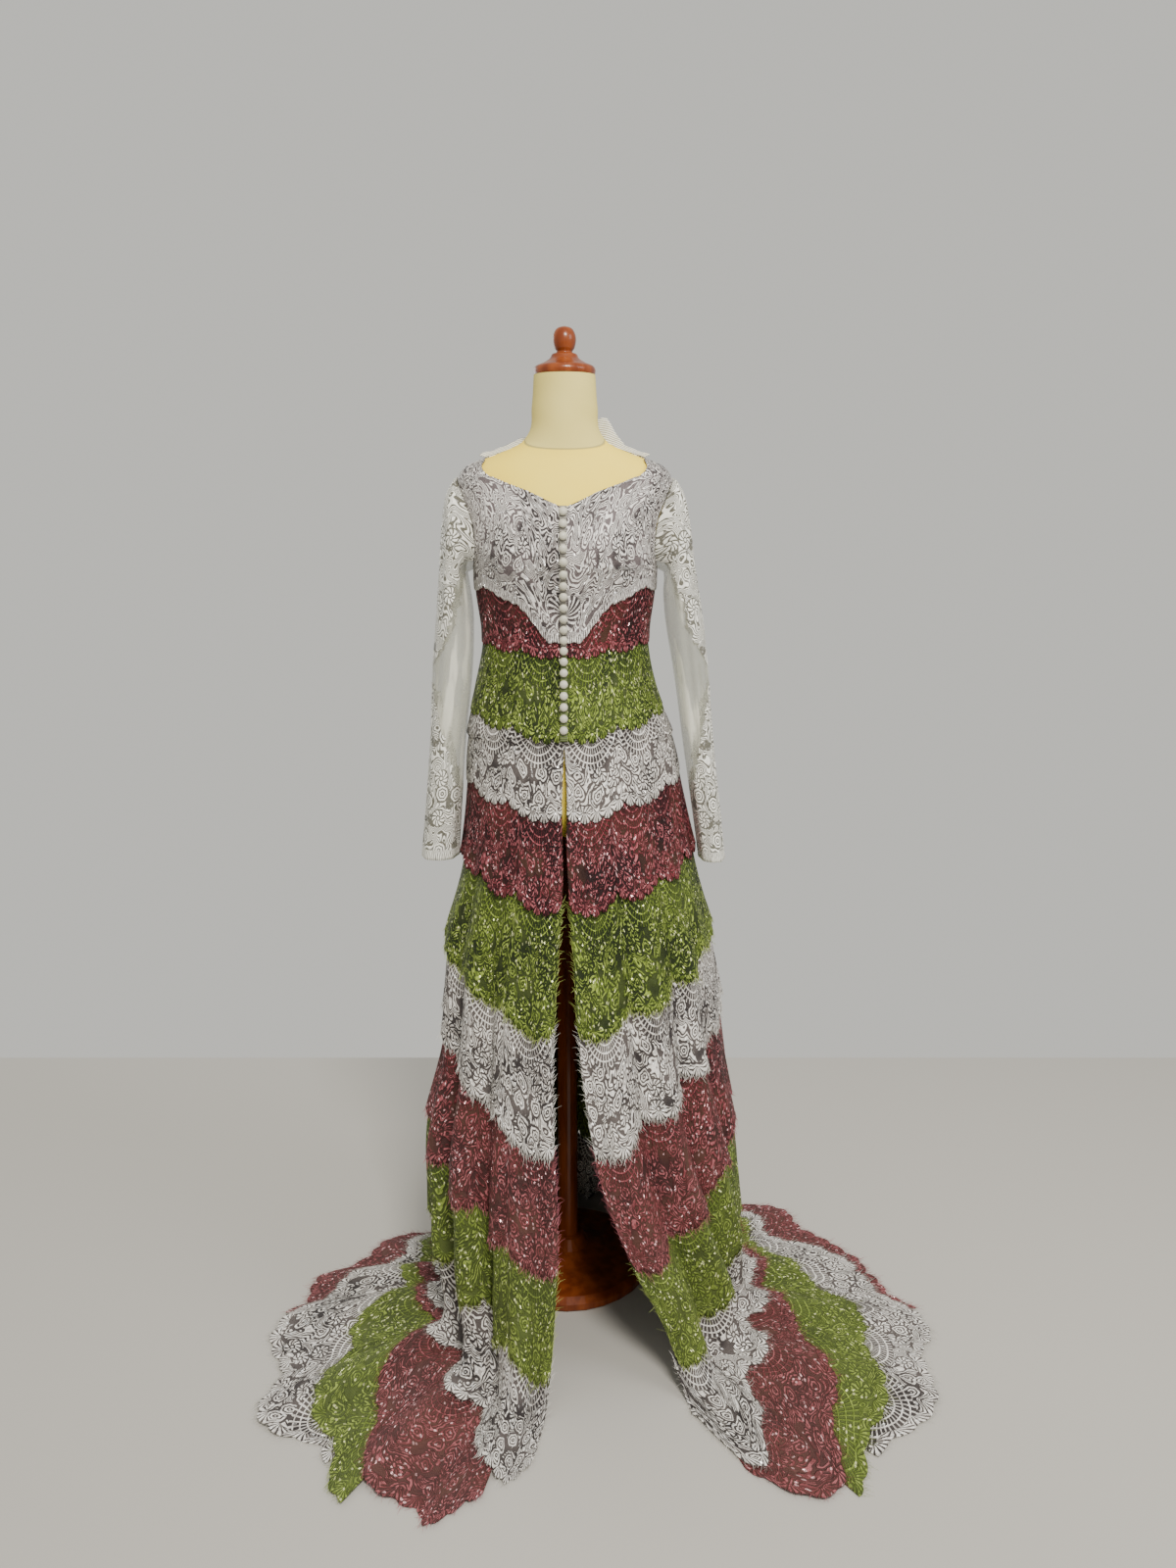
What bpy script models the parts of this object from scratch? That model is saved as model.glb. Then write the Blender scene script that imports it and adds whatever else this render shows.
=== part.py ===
"""A long tiered lace kebaya with a train, buttoned on a limbless dress form.

Blender 4.5 script, metres, +Z up. The dress form stands on the origin and faces -Y.
A place on the gown is given by two numbers. "share" runs round the body from the wearer's
right front edge (0, next to -X) by way of the back (0.5) to the left front edge (1), and
left and right are the wearer's. "level" is the height in metres down to the floor. Below 0
it is minus the share of the way from the gown's foot to the train's edge on the floor.
"""

import math

import bmesh
import bpy
import numpy as np

# Driving sizes, in metres
EASE = 0.005            # room between the dress form and the gown
SHOULDER_EASE = 0.0014  # the same where the gown rests on the shoulders and round the neck
REST_HEIGHT = 1.440     # from here up it rests
REST_BLEND = 0.014      # height over which it comes to rest
FIT_HEIGHT = 1.000      # above this the gown follows the form, below it the skirt's own rings
CLOTH = 0.0015          # thickness of the lace
HEM_LIFT = 0.0040       # how far a tier's hem stands off the tier below
TUCK = 0.006            # how far a tier runs up under the hem above it
SEAM_SHARE = 0.0008     # half of the seam between two panels, as a share of the way round
SLEEVE_CLOTH = 0.0012
BUTTONS = 20
BUTTON_RADIUS = 0.0067
BUTTON_HEIGHT = 0.0080
BUTTON_TOP, BUTTON_BOTTOM = 1.354, 1.020
PLACKET_TOP, PLACKET_BOTTOM = 1.363, 1.006
PLACKET_HALF_SHARE = 0.0055
PLACKET_ROWS = 24
NECK_TOP = 1.567
FORM_BOTTOM = 0.840
POLE_RADIUS = 0.018
BASE_RADIUS = 0.150
GAP = 0.0004            # between pieces that rest on each other
TUCK_GAP = 0.0012       # between a tier's top and the hem over it
TUCK_LIFT = HEM_LIFT - CLOTH - TUCK_GAP
TURN_LEVEL = 0.120      # below this the skirt turns outwards to lie on the floor
FLARE = 0.070           # how far it has turned out where it meets the floor
SETTLE = 0.02           # share over which a hem with no tier under it comes down to the floor
FLOOR_GAP = 0.0004      # under the cloth that lies on the floor
FLOOR_RIDGE = 0.70      # height of a fold that lies on the floor, as a share of its depth
WIDEST_STEP = 0.024     # the most between two columns of the skirt, as a share
BODICE_COLUMNS = 40
NORMAL_STEPS = (0.004, 0.006)   # share and height over which the gown's slope is taken
SHORTEST_REACH = 0.08   # the least length, foot to edge, that a floor tier is reckoned with
LEAST_SPREAD = 0.020    # how far the train lies out at least
LEAST_ACROSS = 0.05     # the least that the first floor tier lies out, as a share of the way
NARROWEST = 0.09        # the narrowest that a floor tier may be, as a share of the way
NARROWEST_METRES = 0.026    # and in metres

# The dress form: height, half width, depth in front, depth behind
FORM_RINGS = (
    (1.567, 0.0485, 0.047, 0.047),
    (1.520, 0.0520, 0.049, 0.050),
    (1.475, 0.0600, 0.054, 0.056),
    (1.462, 0.0720, 0.056, 0.064),
    (1.452, 0.0940, 0.058, 0.070),
    (1.441, 0.1230, 0.062, 0.076),
    (1.428, 0.1500, 0.070, 0.084),
    (1.410, 0.1650, 0.082, 0.094),
    (1.385, 0.1630, 0.096, 0.103),
    (1.340, 0.1500, 0.112, 0.108),
    (1.295, 0.1420, 0.119, 0.105),
    (1.236, 0.1385, 0.104, 0.098),
    (1.156, 0.1280, 0.090, 0.088),
    (1.075, 0.1410, 0.104, 0.104),
    (0.984, 0.1550, 0.118, 0.122),
    (0.908, 0.1590, 0.120, 0.128),
    (0.860, 0.1500, 0.112, 0.120),
    (0.840, 0.1300, 0.095, 0.105),
)
BUST = {"height": 1.290, "spread": 0.045, "angle": 33.0, "angle_spread": 20.0, "depth": 0.018}
BUST_WIDENING = 0.4     # how much of the bust's swell goes sideways

# The skirt: height, centre x, centre y, half width, depth in front, depth behind, and the x
# of the two front edges
SKIRT_RINGS = (
    (0.984, 0.0080, 0.000, 0.168, 0.126, 0.130, -0.001, 0.001),
    (0.908, 0.0140, 0.000, 0.178, 0.134, 0.138, -0.004, 0.004),
    (0.839, 0.0185, 0.000, 0.1865, 0.148, 0.146, -0.003, 0.003),
    (0.787, 0.0215, -0.002, 0.193, 0.160, 0.152, -0.002, 0.006),
    (0.663, 0.0225, -0.008, 0.219, 0.184, 0.164, -0.010, 0.014),
    (0.443, 0.0300, -0.030, 0.237, 0.218, 0.185, -0.018, 0.034),
    (0.310, 0.0265, -0.045, 0.258, 0.245, 0.195, -0.012, 0.062),
    (0.212, 0.0315, -0.055, 0.259, 0.262, 0.200, -0.010, 0.100),
    (0.110, 0.0400, -0.065, 0.252, 0.285, 0.205, -0.016, 0.150),
    (0.000, 0.0530, -0.078, 0.200, 0.297, 0.218, -0.020, 0.180),
)

# The edge of the train on the floor: share of the way round, x, y
TRAIN_OUTLINE = (
    (0.000, -0.044, -0.490),
    (0.040, -0.105, -0.535),
    (0.080, -0.205, -0.598),
    (0.120, -0.300, -0.535),
    (0.160, -0.410, -0.440),
    (0.200, -0.470, -0.310),
    (0.240, -0.470, -0.160),
    (0.280, -0.415, -0.050),
    (0.320, -0.320, 0.050),
    (0.360, -0.255, 0.110),
    (0.400, -0.215, 0.210),
    (0.450, -0.120, 0.345),
    (0.500, -0.010, 0.415),
    (0.550, 0.100, 0.430),
    (0.600, 0.200, 0.390),
    (0.650, 0.280, 0.300),
    (0.700, 0.355, 0.185),
    (0.750, 0.455, 0.095),
    (0.800, 0.540, -0.045),
    (0.850, 0.602, -0.180),
    (0.890, 0.595, -0.300),
    (0.925, 0.515, -0.425),
    (0.950, 0.445, -0.535),
    (0.970, 0.335, -0.540),
    (0.985, 0.265, -0.485),
    (1.000, 0.196, -0.385),
)

# Folds of the skirt: share of the way round, half width as a share, depth (less than 0 for a
# trough), height where it starts
FOLDS = (
    (0.048, 0.020, 0.014, 0.60),
    (0.088, 0.013, -0.032, 0.80),
    (0.118, 0.014, 0.022, 0.85),
    (0.147, 0.012, -0.030, 0.85),
    (0.177, 0.014, 0.020, 0.80),
    (0.204, 0.010, -0.016, 0.60),
    (0.231, 0.014, 0.016, 0.70),
    (0.275, 0.014, 0.016, 0.60),
    (0.318, 0.015, 0.018, 0.75),
    (0.345, 0.012, -0.009, 0.70),
    (0.375, 0.015, 0.016, 0.80),
    (0.432, 0.015, 0.024, 0.85),
    (0.462, 0.010, -0.016, 0.80),
    (0.492, 0.014, 0.020, 0.80),
    (0.545, 0.015, 0.024, 0.85),
    (0.575, 0.010, -0.016, 0.80),
    (0.605, 0.014, 0.022, 0.75),
    (0.662, 0.015, 0.020, 0.80),
    (0.692, 0.010, -0.014, 0.60),
    (0.722, 0.014, 0.018, 0.70),
    (0.790, 0.015, 0.012, 0.60),
    (0.822, 0.010, -0.016, 0.70),
    (0.850, 0.014, 0.016, 0.80),
    (0.880, 0.013, -0.028, 0.75),
    (0.908, 0.014, 0.020, 0.80),
    (0.940, 0.013, -0.031, 0.80),
    (0.965, 0.016, 0.014, 0.60),
)

# Tiers that hang: name, hem height in front, at the sides and behind, scallops all round,
# their depth, rows
HANGING_TIERS = (
    ("rose_1", 1.139, 1.164, 1.155, 12, 0.010, 3),
    ("green_1", 1.010, 1.056, 1.040, 12, 0.012, 3),
    ("white_2", 0.884, 0.950, 0.935, 12, 0.016, 3),
    ("rose_2", 0.747, 0.826, 0.810, 16, 0.022, 2),
    ("green_2", 0.555, 0.688, 0.660, 16, 0.024, 2),
    ("white_3", 0.372, 0.560, 0.530, 16, 0.024, 2),
    ("rose_3", 0.202, 0.370, 0.350, 20, 0.024, 2),
    ("green_3", 0.066, 0.190, 0.175, 20, 0.022, 4),
)
FITTED_TIERS = 2        # the first of these have the bodice's columns, the rest the skirt's

# Tiers that lie on the floor: name, first and last share, scallops, their depth
FLOOR_TIERS = (
    ("white_4", 0.0000, 1.0000, 20, 0.011),
    ("rose_4", 0.0400, 0.9870, 20, 0.013),
    ("green_4", 0.1150, 0.9560, 20, 0.011),
    ("white_5", 0.1400, 0.9380, 20, 0.014),
    ("rose_5", 0.2400, 0.8360, 20, 0.014),
)
# Rows of the tier that goes over the turn, as shares of its drop to the floor
TURN_ROWS = (0.0, 0.2, 0.45, 0.72, 1.0)

# Hems on the floor, as a share of the way from the foot to the train's edge: share of the way
# round, then white_4, rose_4, green_4 and white_5
FLOOR_HEMS = (
    (0.000, 1.00, 1.00, 1.00, 1.00),
    (0.025, 1.00, 1.00, 1.00, 1.00),
    (0.044, 0.62, 1.00, 1.00, 1.00),
    (0.068, 0.32, 1.00, 1.00, 1.00),
    (0.098, 0.20, 0.97, 1.00, 1.00),
    (0.126, 0.08, 0.72, 0.99, 1.00),
    (0.151, 0.06, 0.66, 0.94, 1.00),
    (0.161, 0.05, 0.49, 0.86, 1.00),
    (0.170, 0.05, 0.33, 0.74, 1.00),
    (0.181, 0.05, 0.15, 0.65, 1.00),
    (0.214, 0.05, 0.12, 0.58, 1.00),
    (0.225, 0.05, 0.12, 0.45, 1.00),
    (0.236, 0.05, 0.12, 0.32, 0.96),
    (0.250, 0.05, 0.15, 0.29, 0.88),
    (0.269, 0.05, 0.17, 0.31, 0.76),
    (0.291, 0.05, 0.18, 0.33, 0.62),
    (0.302, 0.05, 0.22, 0.39, 0.58),
    (0.340, 0.05, 0.27, 0.50, 0.72),
    (0.370, 0.06, 0.27, 0.48, 0.72),
    (0.400, 0.08, 0.26, 0.46, 0.70),
    (0.600, 0.08, 0.24, 0.44, 0.70),
    (0.700, 0.06, 0.21, 0.38, 0.60),
    (0.741, 0.05, 0.18, 0.32, 0.52),
    (0.759, 0.05, 0.15, 0.29, 0.60),
    (0.772, 0.05, 0.13, 0.28, 0.80),
    (0.799, 0.05, 0.12, 0.46, 0.93),
    (0.833, 0.05, 0.12, 0.58, 0.96),
    (0.854, 0.05, 0.17, 0.60, 0.99),
    (0.876, 0.05, 0.33, 0.70, 1.00),
    (0.901, 0.05, 0.37, 0.71, 1.00),
    (0.911, 0.06, 0.43, 0.74, 1.00),
    (0.929, 0.13, 0.64, 0.88, 1.00),
    (0.944, 0.22, 0.81, 0.97, 1.00),
    (0.951, 0.26, 0.86, 0.99, 1.00),
    (0.965, 0.36, 0.97, 1.00, 1.00),
    (0.978, 0.83, 1.00, 1.00, 1.00),
    (0.987, 1.00, 1.00, 1.00, 1.00),
    (1.000, 1.00, 1.00, 1.00, 1.00),
)

# The neckline: share of the way round, height
NECKLINE = (
    (0.000, 1.362),
    (0.030, 1.373),
    (0.065, 1.388),
    (0.098, 1.400),
    (0.125, 1.413),
    (0.167, 1.432),
    (0.250, 1.441),
    (0.310, 1.457),
    (0.380, 1.464),
    (0.500, 1.466),
)
# The hem of the white bodice: share of the way round, height
BODICE_HEM = (
    (0.000, 1.158),
    (0.030, 1.160),
    (0.050, 1.186),
    (0.070, 1.210),
    (0.100, 1.229),
    (0.140, 1.246),
    (0.250, 1.244),
    (0.500, 1.236),
)
ARMHOLE = {"height": 1.3392, "half_height": 0.0710, "half_share": 0.058}
# Rows of the bodice panels, as shares of the drop from the neckline to the hem. The armhole
# goes from the fourth to the last but one
BODICE_ROWS = (0.0, 0.05, 0.1, 0.157, 0.23, 0.33, 0.45, 0.58, 0.70, 0.80, 0.877, 1.0)

# The collar: share of the way round, height, lean outwards in degrees
COLLAR = (
    (0.250, 0.010, 74.0),
    (0.300, 0.013, 66.0),
    (0.345, 0.016, 50.0),
    (0.400, 0.024, 26.0),
    (0.500, 0.037, 10.0),
    (0.605, 0.041, 8.0),
    (0.645, 0.040, 15.0),
    (0.670, 0.023, 42.0),
    (0.696, 0.014, 62.0),
    (0.720, 0.012, 70.0),
    (0.750, 0.011, 72.0),
)
COLLAR_COLUMNS = 20

# Sleeve sections below the armhole: outer x and z, inner x and z, centre y, half depth
RIGHT_SLEEVE = (
    (-0.1780, 1.4060, -0.1600, 1.2620, 0.000, 0.058),
    (-0.1905, 1.3800, -0.1600, 1.2480, 0.000, 0.060),
    (-0.1980, 1.3300, -0.1560, 1.2320, 0.000, 0.058),
    (-0.2040, 1.2650, -0.1530, 1.2100, 0.000, 0.056),
    (-0.2100, 1.1900, -0.1520, 1.1700, -0.002, 0.054),
    (-0.2180, 1.1000, -0.1560, 1.0950, -0.006, 0.050),
    (-0.2240, 0.9900, -0.1680, 0.9880, -0.012, 0.046),
    (-0.2350, 0.8700, -0.1770, 0.8700, -0.018, 0.044),
    (-0.2440, 0.7920, -0.1820, 0.7920, -0.022, 0.044),
)
LEFT_SLEEVE = (
    (0.1800, 1.4060, 0.1600, 1.2620, 0.000, 0.058),
    (0.1930, 1.3800, 0.1610, 1.2480, 0.000, 0.060),
    (0.2030, 1.3300, 0.1600, 1.2320, 0.000, 0.058),
    (0.2120, 1.2650, 0.1610, 1.2100, 0.000, 0.056),
    (0.2240, 1.1900, 0.1660, 1.1700, -0.002, 0.054),
    (0.2360, 1.0900, 0.1810, 1.0850, -0.006, 0.050),
    (0.2460, 0.9800, 0.1960, 0.9780, -0.012, 0.046),
    (0.2600, 0.8650, 0.2130, 0.8650, -0.018, 0.044),
    (0.2690, 0.7880, 0.2240, 0.7880, -0.022, 0.044),
)

# The turned wooden cap with its knob: radius, height above the neck
CAP_PROFILE = (
    (0.0478, 0.0000),
    (0.0488, 0.0030),
    (0.0488, 0.0075),
    (0.0455, 0.0125),
    (0.0340, 0.0175),
    (0.0235, 0.0240),
    (0.0195, 0.0305),
    (0.0125, 0.0335),
    (0.0160, 0.0400),
    (0.0183, 0.0505),
    (0.0170, 0.0605),
    (0.0115, 0.0690),
    (0.0000, 0.0728),
)
# The turned wooden base: radius, height
BASE_PROFILE = (
    (BASE_RADIUS - 0.003, 0.000),
    (BASE_RADIUS, 0.003),
    (BASE_RADIUS, 0.014),
    (BASE_RADIUS - 0.012, 0.022),
    (0.070, 0.030),
    (0.038, 0.042),
    (0.028, 0.060),
    (0.000, 0.060),
)


def clear_scene():
    for obj in list(bpy.data.objects):
        bpy.data.objects.remove(obj, do_unlink=True)


def material(name, colour, roughness=0.6, metallic=0.0):
    mat = bpy.data.materials.new(name)
    mat.use_nodes = True
    shader = mat.node_tree.nodes["Principled BSDF"]
    shader.inputs["Base Color"].default_value = (*colour, 1.0)
    shader.inputs["Roughness"].default_value = roughness
    shader.inputs["Metallic"].default_value = metallic
    return mat


def smooth(table, at):
    """Each column of a table after the first, on smooth curves through its rows."""
    rows = np.array(sorted(table), float)
    keys, values = rows[:, 0], rows[:, 1:]
    at = np.clip(np.asarray(at, float), keys[0], keys[-1])
    slopes = np.gradient(values, keys, axis=0)
    i = np.clip(np.searchsorted(keys, at, side="right") - 1, 0, len(keys) - 2)
    width = keys[i + 1] - keys[i]
    u = ((at - keys[i]) / width)[..., None]
    w = width[..., None]
    found = (
        values[i] * (1 + 2 * u) * (1 - u) ** 2
        + values[i + 1] * u * u * (3 - 2 * u)
        + slopes[i] * w * u * (1 - u) ** 2
        + slopes[i + 1] * w * u * u * (u - 1)
    )
    return np.moveaxis(found, -1, 0)


def straight(table, at, column=1):
    """One column of a table, on straight lines through its rows."""
    rows = np.array(table, float)
    return np.interp(at, rows[:, 0], rows[:, column])


def ease_in(value):
    """0 below 0, 1 above 1, with a smooth step between."""
    value = np.clip(value, 0.0, 1.0)
    return value * value * (3.0 - 2.0 * value)


def bust(height, angle):
    """How far the bust stands out, at an angle from the middle of the front in degrees."""
    side = np.abs((angle + 180.0) % 360.0 - 180.0)
    up = (height - BUST["height"]) / BUST["spread"]
    round_it = (side - BUST["angle"]) / BUST["angle_spread"]
    return BUST["depth"] * np.exp(-up * up - round_it * round_it)


def form_point(height, angle):
    """A point of the dress form, at an angle in radians from the front towards -X."""
    half_width, front, back = smooth(FORM_RINGS, height)
    swell = bust(height, np.degrees(angle)) / front
    depth = np.where(np.cos(angle) > 0, front, back)
    x = -half_width * np.sin(angle) * (1.0 + BUST_WIDENING * swell)
    y = -depth * np.cos(angle) * (1.0 + swell)
    return np.stack([x, y, height], axis=-1)


def ease_at(height):
    """Room between the form and the gown: it rests on the shoulders and round the neck."""
    resting = ease_in((height - REST_HEIGHT) / REST_BLEND + 1.0)
    return EASE + (SHOULDER_EASE - EASE) * resting


# The gown's rings from the neck to the floor: the upper ones are the form's, with ease
GOWN_RINGS = tuple(
    (height, 0.0, 0.0, half_width, front, back, -0.001, 0.001)
    for height, half_width, front, back in FORM_RINGS
    if height > FIT_HEIGHT
) + SKIRT_RINGS


def fold(share, level):
    """How far the folds stand out of the skirt."""
    out = np.zeros(np.broadcast(share, level).shape)
    for place, half_width, depth, start in FOLDS:
        grown = np.clip((start - level) / start, 0.0, 1.0) ** 0.8
        out += depth * grown * np.exp(-(((share - place) / half_width) ** 2))
    return out


def gown_point(share, level):
    """A point of the face that the gown's tiers and panels are raised from."""
    share, level = np.broadcast_arrays(np.asarray(share, float), np.asarray(level, float))
    height = np.maximum(level, 0.0)
    cx, cy, half_width, front, back, near_edge, far_edge = smooth(GOWN_RINGS, height)
    ease = np.where(height > FIT_HEIGHT, ease_at(height), 0.0)
    half_width, front, back = half_width + ease, front + ease, back + ease
    near = np.arcsin(np.clip((cx - near_edge) / half_width, -1.0, 1.0))
    far = np.arcsin(np.clip((far_edge - cx) / half_width, -1.0, 1.0))
    angle = near + share * (2.0 * math.pi - near - far)
    swell = bust(height, np.degrees(angle)) / front
    side, ahead = np.sin(angle), np.cos(angle)
    x = cx - half_width * side * (1.0 + BUST_WIDENING * swell)
    y = cy - np.where(ahead > 0, front, back) * ahead * (1.0 + swell)
    edge_x, edge_y = smooth(TRAIN_OUTLINE, share)
    away_x, away_y = edge_x - x, edge_y - y
    reach = np.maximum(np.hypot(away_x, away_y), FLARE)
    turning = np.clip(1.0 - level / TURN_LEVEL, 0.0, 1.0)
    across = np.clip(-level, 0.0, 1.2)
    travel = FLARE * turning * turning + across * np.maximum(reach - FLARE, LEAST_SPREAD)
    out = fold(share, height)
    x = x - side * out + away_x / reach * travel
    y = y - ahead * out + away_y / reach * travel
    ridge = np.maximum(out, 0.0) * FLOOR_RIDGE * (1.0 - 0.75 * across)
    up = 1.0 - turning
    drop = TURN_LEVEL * up * up * (2.0 - up)
    lying = (FLOOR_GAP - TUCK_LIFT + ridge) * (1.0 - ease_in(up))
    z = np.where(level >= TURN_LEVEL, level, drop + lying)
    return np.stack([x, y, z], axis=-1)


def gown_normal(share, level):
    """The direction out of the gown."""
    step_round, step_down = NORMAL_STEPS
    along = gown_point(share + step_round, level) - gown_point(share - step_round, level)
    down = gown_point(share, level - step_down) - gown_point(share, level + step_down)
    out = np.cross(along, down)
    return out / np.linalg.norm(out, axis=-1, keepdims=True)


def laid(share, level, lift):
    """A point on the gown, raised off its inner face."""
    share, level, lift = np.broadcast_arrays(share, level, lift)
    point = gown_point(share, level) + gown_normal(share, level) * lift[..., None]
    point[..., 2] = np.maximum(point[..., 2], FLOOR_GAP + lift - TUCK_LIFT)
    return point


def add_object(name, bm, mat):
    mesh = bpy.data.meshes.new(name)
    bm.to_mesh(mesh)
    bm.free()
    mesh.shade_smooth()
    mesh.set_sharp_from_angle(angle=math.radians(40.0))
    obj = bpy.data.objects.new(name, mesh)
    obj.data.materials.append(mat)
    bpy.context.scene.collection.objects.link(obj)
    return obj


def wall(name, inner, outer, mat, closed=False):
    """A wall between two grids of points with the same rows and columns."""
    rows, columns = inner.shape[:2]
    bm = bmesh.new()
    inside, outside = (
        [[bm.verts.new(point) for point in row] for row in grid] for grid in (inner, outer)
    )
    last = columns if closed else columns - 1
    for i in range(rows - 1):
        for j in range(last):
            k = (j + 1) % columns
            bm.faces.new((outside[i][j], outside[i][k], outside[i + 1][k], outside[i + 1][j]))
            bm.faces.new((inside[i][j], inside[i + 1][j], inside[i + 1][k], inside[i][k]))
    for j in range(last):
        k = (j + 1) % columns
        bm.faces.new((inside[0][j], inside[0][k], outside[0][k], outside[0][j]))
        bm.faces.new((inside[-1][k], inside[-1][j], outside[-1][j], outside[-1][k]))
    if not closed:
        for i in range(rows - 1):
            bm.faces.new((inside[i + 1][0], inside[i][0], outside[i][0], outside[i + 1][0]))
            bm.faces.new((inside[i][-1], inside[i + 1][-1], outside[i + 1][-1], outside[i][-1]))
    bmesh.ops.recalc_face_normals(bm, faces=bm.faces)
    if bm.calc_volume(signed=True) < 0:
        bmesh.ops.reverse_faces(bm, faces=bm.faces)
    return add_object(name, bm, mat)


def turned(name, profile, steps, foot, mat):
    """A solid spun about the Z axis from a profile of radius and height."""
    bm = bmesh.new()
    points = [bm.verts.new((radius, 0.0, foot + height)) for radius, height in profile]
    if profile[0][0] > 0:
        points.insert(0, bm.verts.new((0.0, 0.0, foot + profile[0][1])))
    for a, b in zip(points, points[1:]):
        bm.edges.new((a, b))
    bmesh.ops.spin(
        bm, geom=bm.verts[:] + bm.edges[:], cent=(0, 0, 0), axis=(0, 0, 1),
        angle=2.0 * math.pi, steps=steps, use_merge=True,
    )
    bmesh.ops.remove_doubles(bm, verts=bm.verts, dist=0.00002)
    bmesh.ops.recalc_face_normals(bm, faces=bm.faces)
    if bm.calc_volume(signed=True) < 0:
        bmesh.ops.reverse_faces(bm, faces=bm.faces)
    return add_object(name, bm, mat)


def scallop(share, lobes):
    """0 at the points between two lobes of a hem, 1 at the lowest part of a lobe."""
    return np.abs(np.sin(math.pi * lobes * share)) ** 0.75


def front_weight(share):
    """1 at the two front edges, 0 from the sides back."""
    from_edge = np.minimum(share, 1.0 - share)
    return np.clip(1.0 - from_edge / 0.25, 0.0, 1.0)


def back_weight(share):
    """1 in the middle of the back, 0 from the sides forward."""
    return ease_in((np.minimum(share, 1.0 - share) - 0.25) / 0.25)


def hanging_hem(share, front, side, back, lobes, depth):
    ahead, behind = front_weight(share), back_weight(share)
    height = side + (front - side) * ahead + (back - side) * behind
    return height - depth * scallop(share, lobes)


def bodice_hem(share):
    folded = np.minimum(share, 1.0 - share)
    height = straight(BODICE_HEM, folded)
    return height - 0.008 * scallop(share, 12) * np.clip(folded / 0.1, 0.0, 1.0)


def floor_reach(share):
    """How far it is over the floor from the gown's foot to the train's edge."""
    foot = gown_point(share, np.zeros_like(share))
    edge = gown_point(share, -np.ones_like(share))
    return np.maximum(np.linalg.norm(edge - foot, axis=-1), SHORTEST_REACH)


def floor_hem(share, column, lobes, depth):
    """A hem on the floor, as a level. Past the last column it is the train's own edge."""
    across = straight(FLOOR_HEMS, share, column) if column < 5 else np.ones_like(share)
    across = across + depth * (scallop(share, lobes) - 0.5) / floor_reach(share)
    return -np.maximum(across, LEAST_ACROSS)


def tier(name, share, level, mat, under=(0.0, 1.0)):
    """One tier of lace from its rows of levels: its top lies under the hem above, and its
    own hem stands off over the tier below, which has the shares under."""
    down = (level[0] - level) / (level[0] - level[-1])
    past = np.maximum(under[0] - share, share - under[1])
    raised = np.clip(1.0 - past / SETTLE, 0.0, 1.0)
    lift = TUCK_LIFT + (HEM_LIFT - TUCK_LIFT) * down * raised
    inner = laid(share[None, :], level, lift)
    outer = laid(share[None, :], level, lift + CLOTH)
    return wall(name, inner, outer, mat)


def skirt_shares():
    """Columns of the skirt: one on each fold, between folds, and where a floor tier ends."""
    marks = [0.0, 1.0] + [place for place, *_ in FOLDS]
    for _, first, last, *_ in FLOOR_TIERS:
        marks += [first, last]
    marks = sorted(set(marks))
    shares = [0.0]
    for low, high in zip(marks, marks[1:]):
        count = max(1, math.ceil((high - low) / WIDEST_STEP))
        if high - low > 0.017:
            count = max(2, count)
        shares += [low + (high - low) * (k + 1) / count for k in range(count)]
    return np.array(shares)


def build_tiers(mats):
    above = bodice_hem
    skirt = skirt_shares()
    fitted = np.linspace(0.0, 1.0, BODICE_COLUMNS + 1)
    for number, (name, front, side, back, lobes, depth, rows) in enumerate(HANGING_TIERS):
        share = fitted if number < FITTED_TIERS else skirt
        top = above(share) + TUCK
        hem = hanging_hem(share, front, side, back, lobes, depth)
        down = np.linspace(0.0, 1.0, rows + 1)[:, None]
        tier("tier_" + name, share, top + (hem - top) * down, mats[name.split("_")[0]])

        def above(s, f=front, d=side, b=back, n=lobes, p=depth):
            return hanging_hem(s, f, d, b, n, p)

    for column, (name, first, last, lobes, depth) in enumerate(FLOOR_TIERS, start=1):
        share = skirt[(skirt > first - 1e-6) & (skirt < last + 1e-6)]
        top, hem = above(share), floor_hem(share, column, lobes, depth)
        if column == 1:
            top = top + TUCK
            level = np.vstack([top * (1.0 - down) for down in TURN_ROWS] + [hem])
        else:
            top = np.minimum(top + TUCK / floor_reach(share), -0.01)
            hem = np.minimum(hem, top - np.maximum(NARROWEST, NARROWEST_METRES / floor_reach(share)))
            level = np.vstack([top, (top + hem) / 2.0, hem])
        below = FLOOR_TIERS[column][1:3] if column < len(FLOOR_TIERS) else (1.0 + SETTLE, 1.0)
        tier("tier_" + name, share, level, mats[name.split("_")[0]], below)

        def above(s, c=column, n=lobes, p=depth):
            return floor_hem(s, c, n, p)


def armhole_share(height):
    """How far the armhole's edge is from the side seam, as a share of the way round."""
    up = (height - ARMHOLE["height"]) / ARMHOLE["half_height"]
    return ARMHOLE["half_share"] * np.sqrt(np.clip(1.0 - up * up, 0.0, 1.0))


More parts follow.
